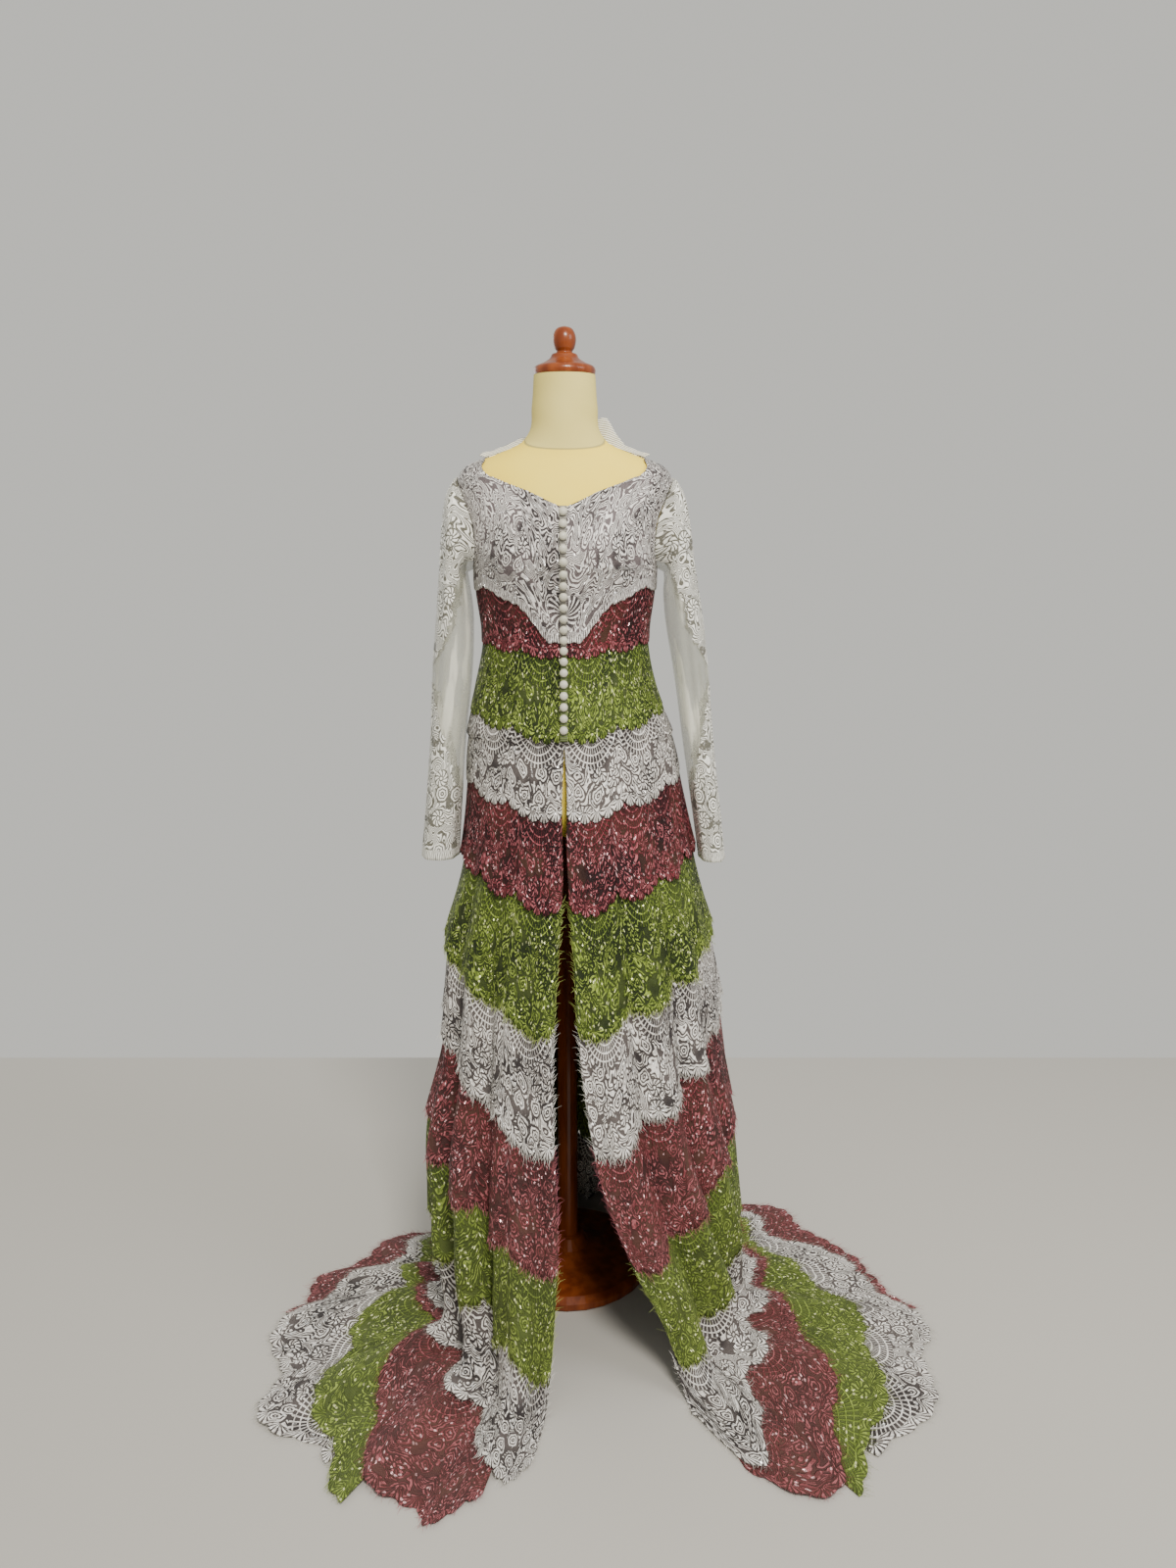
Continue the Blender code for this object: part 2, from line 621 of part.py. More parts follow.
def bodice_panel(name, near, far, columns, mat):
    """A bodice panel from share near to share far, cut round the armhole at 0.25 and 0.75."""
    across = np.linspace(0.0, 1.0, columns + 1)
    plain = near + (far - near) * across
    folded = np.minimum(plain, 1.0 - plain)
    top, hem = smooth(NECKLINE, folded)[0], bodice_hem(plain)
    down = np.array(BODICE_ROWS)[:, None]
    level = top[None, :] + (hem - top)[None, :] * down
    share = np.empty_like(level)
    for row in range(len(BODICE_ROWS)):
        ends = []
        for seam, column, towards in ((near, 0, 1), (far, -1, -1)):
            at_side = abs(abs(seam - 0.5) - 0.25) < 1e-6
            cut = armhole_share(level[row, column]) + SEAM_SHARE if at_side else 0.0
            ends.append(seam + towards * cut)
        share[row] = ends[0] + (ends[1] - ends[0]) * across
    lift = HEM_LIFT * ease_in(down * 2.0 - 1.0)
    return wall(name, laid(share, level, lift), laid(share, level, lift + CLOTH), mat)


def build_bodice(mat):
    quarter = BODICE_COLUMNS // 4
    bodice_panel("bodice_front_right", 0.0, 0.25, quarter, mat)
    bodice_panel("bodice_back", 0.25, 0.75, 2 * quarter, mat)
    bodice_panel("bodice_front_left", 0.75, 1.0, quarter, mat)


def armhole_points():
    """Heights and shares off the side seam, once round the armhole, as the panels have it."""
    top, hem = float(smooth(NECKLINE, 0.25)[0]), float(bodice_hem(0.25))
    heights = [top + (hem - top) * row for row in BODICE_ROWS[3:-1]]
    heights[0], heights[-1] = heights[0] - GAP, heights[-1] + 3.0 * GAP
    front = [(height, float(armhole_share(height)) - 1.5 * GAP) for height in heights]
    front[0], front[-1] = (heights[0], 0.0), (heights[-1], 0.0)
    return np.array(front + [(height, -off) for height, off in front[-2:0:-1]])


def sleeve(name, side_share, sections, mat):
    """A sleeve: a tube from the armhole down to the open cuff."""
    outward = -1.0 if side_share < 0.5 else 1.0
    height, off = armhole_points().T
    up = (height - ARMHOLE["height"]) / ARMHOLE["half_height"]
    turn = np.arctan2(off / ARMHOLE["half_share"], up)
    start = laid(side_share + outward * off, height, CLOTH + 2.0 * GAP)
    rings = [start]
    for outer_x, outer_z, inner_x, inner_z, y, deep in sections:
        centre = np.array([(outer_x + inner_x) / 2.0, y, (outer_z + inner_z) / 2.0])
        across = np.array([outer_x, y, outer_z]) - centre
        ahead = np.array([0.0, -deep, 0.0])
        rings.append(
            centre + np.cos(turn)[:, None] * across + np.sin(turn)[:, None] * ahead
        )
    outer = np.array(rings)
    centres = outer.mean(axis=1, keepdims=True)
    away = outer - centres
    length = np.linalg.norm(away, axis=-1, keepdims=True)
    inner = outer - away / length * SLEEVE_CLOTH
    return wall(name, inner, outer, mat, closed=True)


def build_collar(mat):
    share = np.linspace(0.252, 0.748, COLLAR_COLUMNS + 1)
    folded = np.minimum(share, 1.0 - share)
    base = laid(share, smooth(NECKLINE, folded)[0] - 0.001, CLOTH + 3.0 * GAP)
    height, lean = smooth(COLLAR, share)
    lean = np.radians(lean)
    out = base * np.array([1.0, 1.0, 0.0])
    out /= np.linalg.norm(out, axis=-1, keepdims=True)
    up = np.zeros_like(out)
    up[:, 2] = 1.0
    direction = out * np.sin(lean)[:, None] + up * np.cos(lean)[:, None]
    across = out * np.cos(lean)[:, None] - up * np.sin(lean)[:, None]
    rise = np.linspace(0.0, 1.0, 3)[::-1, None, None]
    inner = base[None] + direction[None] * height[None, :, None] * rise
    outer = inner + across[None] * SLEEVE_CLOTH
    return wall("collar", inner, outer, mat)


def build_placket(cloth, button):
    lift = HEM_LIFT + CLOTH + 1.5 * GAP
    level = np.linspace(PLACKET_TOP, PLACKET_BOTTOM, PLACKET_ROWS)[:, None]
    share = np.array([-PLACKET_HALF_SHARE, 0.0, PLACKET_HALF_SHARE])[None, :]
    inner = laid(share, level, lift)
    outer = laid(share, level, lift + CLOTH)
    wall("placket", inner, outer, cloth)
    for number in range(BUTTONS):
        down = number / (BUTTONS - 1)
        height = np.array(BUTTON_TOP + (BUTTON_BOTTOM - BUTTON_TOP) * down)
        foot = laid(np.array(0.0), height, np.array(lift + CLOTH + GAP))
        out = gown_normal(np.array(0.0), height)
        dome(f"button_{number + 1:02d}", foot, out, button)


def dome(name, foot, out, mat):
    """A covered ball button with a flat back."""
    bm = bmesh.new()
    ring_sizes = ((0.80, 0.0), (1.0, 0.38), (0.72, 0.82))
    side = np.array([1.0, 0.0, 0.0])
    up = np.cross(out, side)
    up /= np.linalg.norm(up)
    rings = []
    for radius, rise in ring_sizes:
        ring = []
        for k in range(8):
            turn = 2.0 * math.pi * k / 8
            around = side * math.cos(turn) + up * math.sin(turn)
            point = foot + around * radius * BUTTON_RADIUS + out * rise * BUTTON_HEIGHT
            ring.append(bm.verts.new(point))
        rings.append(ring)
    tip = bm.verts.new(foot + out * BUTTON_HEIGHT)
    bm.faces.new(rings[0])
    for low, high in zip(rings, rings[1:]):
        for k in range(8):
            bm.faces.new((low[k], low[(k + 1) % 8], high[(k + 1) % 8], high[k]))
    for k in range(8):
        bm.faces.new((rings[-1][k], rings[-1][(k + 1) % 8], tip))
    bmesh.ops.recalc_face_normals(bm, faces=bm.faces)
    if bm.calc_volume(signed=True) < 0:
        bmesh.ops.reverse_faces(bm, faces=bm.faces)
    return add_object(name, bm, mat)


def build_form(jersey, wood):
    """The dress form: a smooth torso with its neck, wooden cap, pole and base."""
    columns = 24
    angle = np.linspace(0.0, 2.0 * math.pi, columns, endpoint=False)
    rings = [form_point(np.full(columns, ring[0]), angle) for ring in FORM_RINGS]
    bm = bmesh.new()
    grid = [[bm.verts.new(p) for p in ring] for ring in rings]
    for high, low in zip(grid, grid[1:]):
        for j in range(columns):
            k = (j + 1) % columns
            bm.faces.new((high[j], low[j], low[k], high[k]))
    bm.faces.new(grid[0])
    bm.faces.new(grid[-1])
    bmesh.ops.recalc_face_normals(bm, faces=bm.faces)
    if bm.calc_volume(signed=True) < 0:
        bmesh.ops.reverse_faces(bm, faces=bm.faces)
    add_object("form_torso", bm, jersey)
    turned("form_cap", CAP_PROFILE, 20, NECK_TOP + GAP, wood)
    turned("form_base", BASE_PROFILE, 28, 0.0, wood)
    pole_foot = BASE_PROFILE[-1][1] + GAP
    pole_length = FORM_BOTTOM - GAP - pole_foot
    pole = ((POLE_RADIUS, 0.0), (POLE_RADIUS, pole_length), (0.0, pole_length))
    turned("form_pole", pole, 20, pole_foot, wood)


def main():
    clear_scene()
    white = material("white lace", (0.80, 0.78, 0.74), 0.65)
    cloths = {
        "white": white,
        "rose": material("rose lace", (0.42, 0.12, 0.16), 0.55),
        "green": material("green lace", (0.30, 0.42, 0.08), 0.55),
    }
    net = material("white net", (0.78, 0.77, 0.73), 0.7)
    button = material("covered button", (0.74, 0.72, 0.66), 0.5)
    jersey = material("cream jersey", (0.83, 0.74, 0.48), 0.8)
    wood = material("varnished wood", (0.45, 0.13, 0.05), 0.25)
    build_form(jersey, wood)
    build_bodice(white)
    build_tiers(cloths)
    sleeve("sleeve_right", 0.25, RIGHT_SLEEVE, net)
    sleeve("sleeve_left", 0.75, LEFT_SLEEVE, net)
    build_collar(white)
    build_placket(white, button)


main()
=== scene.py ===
# %% [markdown]
# # A tiered lace kebaya gown, dressed on its form
#
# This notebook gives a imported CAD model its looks. The CAD model holds every cut piece of the
# gown as a plain thin solid. Here each piece gets a finer cloth in the same place, and then its
# lace, net, jersey, satin or varnish.
#
# We start by loading the CAD model. Nothing of it is ever moved: new pieces are laid over it.

# %% Load the model
import math

import bmesh
import bpy
import numpy as np
from mathutils import Matrix, Vector


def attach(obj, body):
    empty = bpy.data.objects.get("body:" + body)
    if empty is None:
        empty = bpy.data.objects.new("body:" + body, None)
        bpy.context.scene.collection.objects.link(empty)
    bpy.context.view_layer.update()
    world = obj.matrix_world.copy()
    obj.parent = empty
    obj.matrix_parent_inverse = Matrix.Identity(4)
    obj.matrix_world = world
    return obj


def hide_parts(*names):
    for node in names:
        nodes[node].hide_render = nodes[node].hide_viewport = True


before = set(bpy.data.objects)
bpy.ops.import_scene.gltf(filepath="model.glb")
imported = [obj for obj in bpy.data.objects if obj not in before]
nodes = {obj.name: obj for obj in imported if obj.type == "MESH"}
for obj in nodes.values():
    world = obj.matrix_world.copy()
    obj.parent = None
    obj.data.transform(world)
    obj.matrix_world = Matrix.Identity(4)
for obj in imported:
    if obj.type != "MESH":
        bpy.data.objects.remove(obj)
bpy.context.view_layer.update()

# %% [markdown]
# ## Camera, light and floor
#
# A camera has a place, a direction and a lens. The form was photographed from about two metres
# in front, at the height of its shoulders, looking down a little, with a wide lens. That is why
# the shoulders look large and the train runs towards us. A large soft lamp above and in front
# gives the lace its small shadows, and a pale room fills the rest.

# %% Camera
CAMERA_PLACE = (0.037, -1.95, 1.34)
CAMERA_TILT = 12.5       # degrees down
CAMERA_LENS = 27.05      # millimetres
SENSOR = 36.0            # millimetres

camera_data = bpy.data.cameras.new("camera")
camera_data.lens = CAMERA_LENS
camera_data.sensor_width = SENSOR
camera = bpy.data.objects.new("camera", camera_data)
camera.location = CAMERA_PLACE
camera.rotation_euler = (math.radians(90.0 - CAMERA_TILT), 0.0, 0.0)
bpy.context.scene.collection.objects.link(camera)
bpy.context.scene.camera = camera
print("camera lens", camera_data.lens)

# %% Lamps


def lamp(name, place, aim, size, watts, colour=(1.0, 1.0, 1.0)):
    """A square soft lamp at a place, turned towards a point."""
    data = bpy.data.lights.new(name, "AREA")
    data.shape = "SQUARE"
    data.size = size
    data.energy = watts
    data.color = colour
    obj = bpy.data.objects.new(name, data)
    obj.location = place
    direction = Vector(aim) - Vector(place)
    obj.rotation_euler = direction.to_track_quat("-Z", "Y").to_euler()
    bpy.context.scene.collection.objects.link(obj)
    return obj


lamp("key_lamp", (0.5, -2.1, 3.1), (0.0, 0.0, 0.9), 0.7, 106.0, (1.0, 0.96, 0.89))
lamp("side_lamp", (2.4, -1.2, 2.4), (0.0, 0.0, 0.8), 1.2, 26.0, (0.97, 0.97, 1.0))
lamp("back_lamp", (-1.6, 2.2, 1.6), (0.0, 0.0, 0.9), 1.5, 16.0)
ROOM_COLOUR = (0.76, 0.75, 0.70, 1.0)
ROOM_STRENGTH = 0.88

room = bpy.data.worlds.new("room")
room.use_nodes = True
pale_wall = room.node_tree.nodes["Background"]
pale_wall.inputs["Color"].default_value = ROOM_COLOUR
pale_wall.inputs["Strength"].default_value = ROOM_STRENGTH
bpy.context.scene.world = room

# %% [markdown]
# ## How materials are written here
#
# A shader is a graph of nodes. Written by hand that graph is long, so a small class wraps one
# socket and lets us write arithmetic: `1 - mask` adds a Math node for us. Every other node comes
# from one method, `node`, that takes its type, its settings and what goes into its sockets.

# %% Shader arithmetic


class Wire:
    """One output socket. Arithmetic on it adds Math nodes."""

    def __init__(self, paint, socket):
        self.paint = paint
        self.socket = socket

    def math(self, operation, *others, first=None):
        values = [self, *others] if first is None else [first, self, *others]
        settings = {"operation": operation}
        return self.paint.node("ShaderNodeMath", settings, dict(enumerate(values)))

    def __add__(self, other):
        return self.math("ADD", other)

    __radd__ = __add__

    def __sub__(self, other):
        return self.math("SUBTRACT", other)

    def __rsub__(self, other):
        return self.math("SUBTRACT", first=other)

    def __mul__(self, other):
        return self.math("MULTIPLY", other)

    __rmul__ = __mul__

    def __truediv__(self, other):
        return self.math("DIVIDE", other)

    def __gt__(self, other):
        return self.math("GREATER_THAN", other)


class Paint:
    """A material, with a method that makes any node."""

    def __init__(self, name):
        self.material = bpy.data.materials.new(name)
        self.material.use_nodes = True
        self.tree = self.material.node_tree
        self.shader = self.tree.nodes["Principled BSDF"]

    def put(self, socket, value):
        if isinstance(value, Wire):
            self.tree.links.new(value.socket, socket)
        elif hasattr(socket.default_value, "__len__") and len(value) < len(socket.default_value):
            socket.default_value = (*value, 1.0)
        else:
            socket.default_value = value

    def node(self, kind, settings=None, sockets=None, out=0):
        made = self.tree.nodes.new(kind)
        for key, value in (settings or {}).items():
            setattr(made, key, value)
        for key, value in (sockets or {}).items():
            found = [s for s in made.inputs if s.identifier == key] if isinstance(key, str) else []
            socket = found[0] if found else made.inputs[key]
            self.put(socket, value)
        return Wire(self, made.outputs[out])

    def set(self, **sockets):
        for key, value in sockets.items():
            self.put(self.shader.inputs[key.replace("_", " ").title()], value)

    def uv(self, name):
        return self.node("ShaderNodeUVMap", {"uv_map": name})

    def on_object(self):
        """Metres on the object, in the three directions."""
        return self.node("ShaderNodeTexCoord", out=3)

    def part(self, vector, axis):
        return self.node("ShaderNodeSeparateXYZ", None, {0: vector}, out="XYZ".index(axis))

    def vector(self, operation, first, second=None, scale=None, out=0):
        values = {0: first, 1: second, "Scale": scale}
        sockets = {key: value for key, value in values.items() if value is not None}
        return self.node("ShaderNodeVectorMath", {"operation": operation}, sockets, out)

    def noise(self, vector, scale, detail=2.0, distortion=0.0, dimensions="2D"):
        settings = {"noise_dimensions": dimensions}
        sockets = {"Vector": vector, "Scale": scale, "Detail": detail, "Distortion": distortion}
        return self.node("ShaderNodeTexNoise", settings, sockets)

    def cells(self, vector, scale, randomness=1.0, out=0):
        settings = {"voronoi_dimensions": "2D"}
        sockets = {"Vector": vector, "Scale": scale, "Randomness": randomness}
        return self.node("ShaderNodeTexVoronoi", settings, sockets, out)

    def mix(self, factor, low, high):
        settings = {"data_type": "RGBA"}
        sockets = {"Factor_Float": factor, "A_Color": low, "B_Color": high}
        return self.node("ShaderNodeMix", settings, sockets, out=2)

    def step(self, value, low, high):
        """0 below low, 1 above high, smooth between. With low above high it falls instead."""
        sockets = {0: value, 1: low, 2: high, 3: 0.0, 4: 1.0}
        return self.node("ShaderNodeMapRange", {"interpolation_type": "SMOOTHSTEP"}, sockets)

    def wave(self, value, period):
        """A triangle wave from 0 to 1 and back in each period."""
        return (value / period).math("PINGPONG", 0.5) * 2.0

    def bump(self, height, strength, distance):
        sockets = {"Height": height, "Strength": strength, "Distance": distance}
        return self.node("ShaderNodeBump", None, sockets)


print("shader helpers ready")

# %% From a mesh to an object


def shown(name, bm, paint, crisp=None):
    """The object of a finished bmesh. With crisp, it is smooth but for edges over that angle."""
    mesh = bpy.data.meshes.new(name)
    bm.to_mesh(mesh)
    bm.free()
    if crisp:
        mesh.shade_smooth()
        mesh.set_sharp_from_angle(angle=math.radians(crisp))
    obj = bpy.data.objects.new(name, mesh)
    obj.data.materials.append(paint.material)
    bpy.context.scene.collection.objects.link(obj)
    return obj


print("mesh helper ready")

# %% [markdown]
# ## The studio floor
#
# The floor is plain and pale. It isn't part of the gown.

# %% Floor
FLOOR_END = 0.85         # metres from the form to the back edge of the floor
FLOOR_HALF = 6.0         # half the floor's side, in metres

floor_paint = Paint("studio_floor")
floor_paint.set(base_color=(0.50, 0.48, 0.44), roughness=0.9)
bm = bmesh.new()
bmesh.ops.create_grid(bm, x_segments=1, y_segments=1, size=FLOOR_HALF)
bmesh.ops.translate(bm, vec=(0.0, FLOOR_END - FLOOR_HALF, 0.0), verts=bm.verts)
studio_floor = shown("studio_floor", bm, floor_paint)
print("floor", studio_floor.dimensions[:])

# %% [markdown]
# ## The gown's shape
#
# A gown is easier to describe on paper than in space. Here a place on it has two numbers, as on
# a tailor's pattern. `share` runs round the body from the wearer's right front edge (0) by the
# back (0.5) to the left front edge (1). `level` is the height in metres, and below 0 it goes on
# over the floor to the edge of the train (-1). The tables are the CAD model's own, so that the
# fine cloth lies exactly where the solids are.

# %% Sizes, in metres
EASE = 0.005             # room between the form and the gown
SHOULDER_EASE = 0.0014   # the same where the gown rests on the form
REST_HEIGHT = 1.440
REST_BLEND = 0.014
FIT_HEIGHT = 1.000       # above this the gown follows the form
CLOTH = 0.0015
SLEEVE_CLOTH = 0.0012
GAP = 0.0004
TUCK = 0.006             # how far a tier goes up under the one above
TUCK_LIFT = 0.0013       # how far a tier's top edge stands off the gown's face
HEM_LIFT = 0.0040        # and its hem
TURN_LEVEL = 0.120       # below this the skirt turns out onto the floor
FLARE = 0.070            # how far it has turned out where it meets the floor
FLOOR_GAP = 0.0004
LEAST_SPREAD = 0.020
SHORTEST_REACH = 0.08    # the least way from the foot of the skirt to the train's edge
NARROWEST_METRES = 0.026
print("cloth", CLOTH, "tuck", TUCK, "flare", FLARE)

# %% Shares
SEAM_SHARE = 0.0008      # of the way round, at an armhole's seam
SETTLE = 0.02            # of the way round, where a tier comes down beside the one below
FLOOR_RIDGE = 0.70       # what is left of a fold's height on the floor
RIDGE_FALL = 0.75        # what it loses on the way to the train's edge
FARTHEST = 1.18          # of the way to the train's edge, for a hem
FARTHEST_POINT = 1.2     # the same for any point
LEAST_ACROSS = 0.05
NARROWEST = 0.09         # the narrowest a floor tier gets
SIDE_SEAMS = (0.25, 0.75)
print("side seams at", SIDE_SEAMS)

# %% Tables of the form, the skirt and the train
# height, half width, depth in front, depth behind
FORM_RINGS = (
    (1.567, 0.0485, 0.047, 0.047),
    (1.520, 0.0520, 0.049, 0.050),
    (1.475, 0.0600, 0.054, 0.056),
    (1.462, 0.0720, 0.056, 0.064),
    (1.452, 0.0940, 0.058, 0.070),
    (1.441, 0.1230, 0.062, 0.076),
    (1.428, 0.1500, 0.070, 0.084),
    (1.410, 0.1650, 0.082, 0.094),
    (1.385, 0.1630, 0.096, 0.103),
    (1.340, 0.1500, 0.112, 0.108),
    (1.295, 0.1420, 0.119, 0.105),
    (1.236, 0.1385, 0.104, 0.098),
    (1.156, 0.1280, 0.090, 0.088),
    (1.075, 0.1410, 0.104, 0.104),
    (0.984, 0.1550, 0.118, 0.122),
    (0.908, 0.1590, 0.120, 0.128),
    (0.860, 0.1500, 0.112, 0.120),
    (0.840, 0.1300, 0.095, 0.105),
)
# height, centre x and y, half width, depth in front, depth behind, x of the two front edges
SKIRT_RINGS = (
    (0.984, 0.0080, 0.000, 0.168, 0.126, 0.130, -0.001, 0.001),
    (0.908, 0.0140, 0.000, 0.178, 0.134, 0.138, -0.004, 0.004),
    (0.839, 0.0185, 0.000, 0.1865, 0.148, 0.146, -0.003, 0.003),
    (0.787, 0.0215, -0.002, 0.193, 0.160, 0.152, -0.002, 0.006),
    (0.663, 0.0225, -0.008, 0.219, 0.184, 0.164, -0.010, 0.014),
    (0.443, 0.0300, -0.030, 0.237, 0.218, 0.185, -0.018, 0.034),
    (0.310, 0.0265, -0.045, 0.258, 0.245, 0.195, -0.012, 0.062),
    (0.212, 0.0315, -0.055, 0.259, 0.262, 0.200, -0.010, 0.100),
    (0.110, 0.0400, -0.065, 0.252, 0.285, 0.205, -0.016, 0.150),
    (0.000, 0.0530, -0.078, 0.200, 0.297, 0.218, -0.020, 0.180),
)
# share of the way round, x and y of the train's edge on the floor
TRAIN_OUTLINE = (
    (0.000, -0.044, -0.490),
    (0.040, -0.105, -0.535),
    (0.080, -0.205, -0.598),
    (0.120, -0.300, -0.535),
    (0.160, -0.410, -0.440),
    (0.200, -0.470, -0.310),
    (0.240, -0.470, -0.160),
    (0.280, -0.415, -0.050),
    (0.320, -0.320, 0.050),
    (0.360, -0.255, 0.110),
    (0.400, -0.215, 0.210),
    (0.450, -0.120, 0.345),
    (0.500, -0.010, 0.415),
    (0.550, 0.100, 0.430),
    (0.600, 0.200, 0.390),
    (0.650, 0.280, 0.300),
    (0.700, 0.355, 0.185),
    (0.750, 0.455, 0.095),
    (0.800, 0.540, -0.045),
    (0.850, 0.602, -0.180),
    (0.890, 0.595, -0.300),
    (0.925, 0.515, -0.425),
    (0.950, 0.445, -0.535),
    (0.970, 0.335, -0.540),
    (0.985, 0.265, -0.485),
    (1.000, 0.196, -0.385),
)
# share, half width as a share, depth, height where the fold starts
FOLDS = (
    (0.048, 0.020, 0.014, 0.60),
    (0.088, 0.013, -0.032, 0.80),
    (0.118, 0.014, 0.022, 0.85),
    (0.147, 0.012, -0.030, 0.85),
    (0.177, 0.014, 0.020, 0.80),
    (0.204, 0.010, -0.016, 0.60),
    (0.231, 0.014, 0.016, 0.70),
    (0.275, 0.014, 0.016, 0.60),
    (0.318, 0.015, 0.018, 0.75),
    (0.345, 0.012, -0.009, 0.70),
    (0.375, 0.015, 0.016, 0.80),
    (0.432, 0.015, 0.024, 0.85),
    (0.462, 0.010, -0.016, 0.80),
    (0.492, 0.014, 0.020, 0.80),
    (0.545, 0.015, 0.024, 0.85),
    (0.575, 0.010, -0.016, 0.80),
    (0.605, 0.014, 0.022, 0.75),
    (0.662, 0.015, 0.020, 0.80),
    (0.692, 0.010, -0.014, 0.60),
    (0.722, 0.014, 0.018, 0.70),
    (0.790, 0.015, 0.012, 0.60),
    (0.822, 0.010, -0.016, 0.70),
    (0.850, 0.014, 0.016, 0.80),
    (0.880, 0.013, -0.028, 0.75),
    (0.908, 0.014, 0.020, 0.80),
    (0.940, 0.013, -0.031, 0.80),
    (0.965, 0.016, 0.014, 0.60),
)
BUST = {"height": 1.290, "spread": 0.045, "angle": 33.0, "angle_spread": 20.0, "depth": 0.018}
BUST_WIDENING = 0.4
print("form rings", len(FORM_RINGS), "skirt rings", len(SKIRT_RINGS), "folds", len(FOLDS))

# %% Smooth curves through the tables


def smooth(table, at):
    """Each column of a table after the first, on smooth curves through its rows."""
    rows = np.array(sorted(table), float)
    keys, values = rows[:, 0], rows[:, 1:]
    at = np.clip(np.asarray(at, float), keys[0], keys[-1])
    slopes = np.gradient(values, keys, axis=0)
    i = np.clip(np.searchsorted(keys, at, side="right") - 1, 0, len(keys) - 2)
    width = keys[i + 1] - keys[i]
    u = ((at - keys[i]) / width)[..., None]
    w = width[..., None]
    found = (
        values[i] * (1 + 2 * u) * (1 - u) ** 2
        + values[i + 1] * u * u * (3 - 2 * u)
        + slopes[i] * w * u * (1 - u) ** 2
        + slopes[i + 1] * w * u * u * (u - 1)
    )
    return np.moveaxis(found, -1, 0)


def straight(table, at, column=1):
    rows = np.array(table, float)
    return np.interp(at, rows[:, 0], rows[:, column])


def ease_in(value):
    """0 below 0, 1 above 1, with a smooth step between."""
    value = np.clip(value, 0.0, 1.0)
    return value * value * (3.0 - 2.0 * value)


def bust(height, angle):
    side = np.abs((angle + 180.0) % 360.0 - 180.0)
    up = (height - BUST["height"]) / BUST["spread"]
    round_it = (side - BUST["angle"]) / BUST["angle_spread"]
    return BUST["depth"] * np.exp(-up * up - round_it * round_it)


def ease_at(height):
    """Room between the form and the gown: it rests on the shoulders and round the neck."""
    resting = ease_in((height - REST_HEIGHT) / REST_BLEND + 1.0)
    return EASE + (SHOULDER_EASE - EASE) * resting


GOWN_RINGS = tuple(
    (height, 0.0, 0.0, half_width, front, back, -0.001, 0.001)
    for height, half_width, front, back in FORM_RINGS
    if height > FIT_HEIGHT
) + SKIRT_RINGS
print("half width at the waist", round(float(smooth(GOWN_RINGS, 1.15)[2]), 4))

# %% [markdown]
# Soft lace over many layers never hangs in perfectly even folds. So two things are added to the
# CAD model's folds: small shallow ripples, and a slow wander. They grow from nothing at the hip.
# All tiers share one face, so a ripple goes through every layer and no layer cuts another.

# %% Folds and ripples


def fold(share, level):
    """How far the folds stand out of the skirt."""
    out = np.zeros(np.broadcast(share, level).shape)
    for place, half_width, depth, start in FOLDS:
        grown = np.clip((start - level) / start, 0.0, 1.0) ** 0.8
        out += depth * grown * np.exp(-(((share - place) / half_width) ** 2))
    return out


RIPPLE_TOP, RIPPLE_FULL = 0.80, 0.20
FINE_RIPPLES, FINER_RIPPLES = 31.0, 53.0
FINE_DEPTH, FINER_DEPTH = 0.0016, 0.0010


def ripple(share, level):
    """Small uneven waves of the hanging cloth, which start at RIPPLE_TOP and wander sideways."""
    grown = np.clip((RIPPLE_TOP - level) / (RIPPLE_TOP - RIPPLE_FULL), 0.0, 1.0)
    wander = 0.012 * np.sin(9.0 * level + 5.0) + 0.006 * np.sin(21.0 * level)
    fine = np.sin(2.0 * math.pi * FINE_RIPPLES * (share + 0.5 * wander))
    finer = np.sin(2.0 * math.pi * FINER_RIPPLES * (share - 0.4 * wander) + 1.3)
    return grown * (FINE_DEPTH * fine + FINER_DEPTH * finer)


def gown_point(share, level):
    """A point of the face that the gown's tiers and panels are raised from."""
    share, level = np.broadcast_arrays(np.asarray(share, float), np.asarray(level, float))
    height = np.maximum(level, 0.0)
    cx, cy, half_width, front, back, near_edge, far_edge = smooth(GOWN_RINGS, height)
    ease = np.where(height > FIT_HEIGHT, ease_at(height), 0.0)
    half_width, front, back = half_width + ease, front + ease, back + ease
    near = np.arcsin(np.clip((cx - near_edge) / half_width, -1.0, 1.0))
    far = np.arcsin(np.clip((far_edge - cx) / half_width, -1.0, 1.0))
    angle = near + share * (2.0 * math.pi - near - far)
    swell = bust(height, np.degrees(angle)) / front
    side, ahead = np.sin(angle), np.cos(angle)
    x = cx - half_width * side * (1.0 + BUST_WIDENING * swell)
    y = cy - np.where(ahead > 0, front, back) * ahead * (1.0 + swell)
    edge_x, edge_y = smooth(TRAIN_OUTLINE, share)
    away_x, away_y = edge_x - x, edge_y - y
    reach = np.maximum(np.hypot(away_x, away_y), FLARE)
    turning = np.clip(1.0 - level / TURN_LEVEL, 0.0, 1.0)
    across = np.clip(-level, 0.0, FARTHEST_POINT)
    travel = FLARE * turning * turning + across * np.maximum(reach - FLARE, LEAST_SPREAD)
    out = fold(share, height) + ripple(share, height)
    x = x - side * out + away_x / reach * travel
    y = y - ahead * out + away_y / reach * travel
    ridge = np.maximum(out, 0.0) * FLOOR_RIDGE * (1.0 - RIDGE_FALL * across)
    up = 1.0 - turning
    drop = TURN_LEVEL * up * up * (2.0 - up)
    lying = (FLOOR_GAP - TUCK_LIFT + ridge) * (1.0 - ease_in(up))
    z = np.where(level >= TURN_LEVEL, level, drop + lying)
    return np.stack([x, y, z], axis=-1)


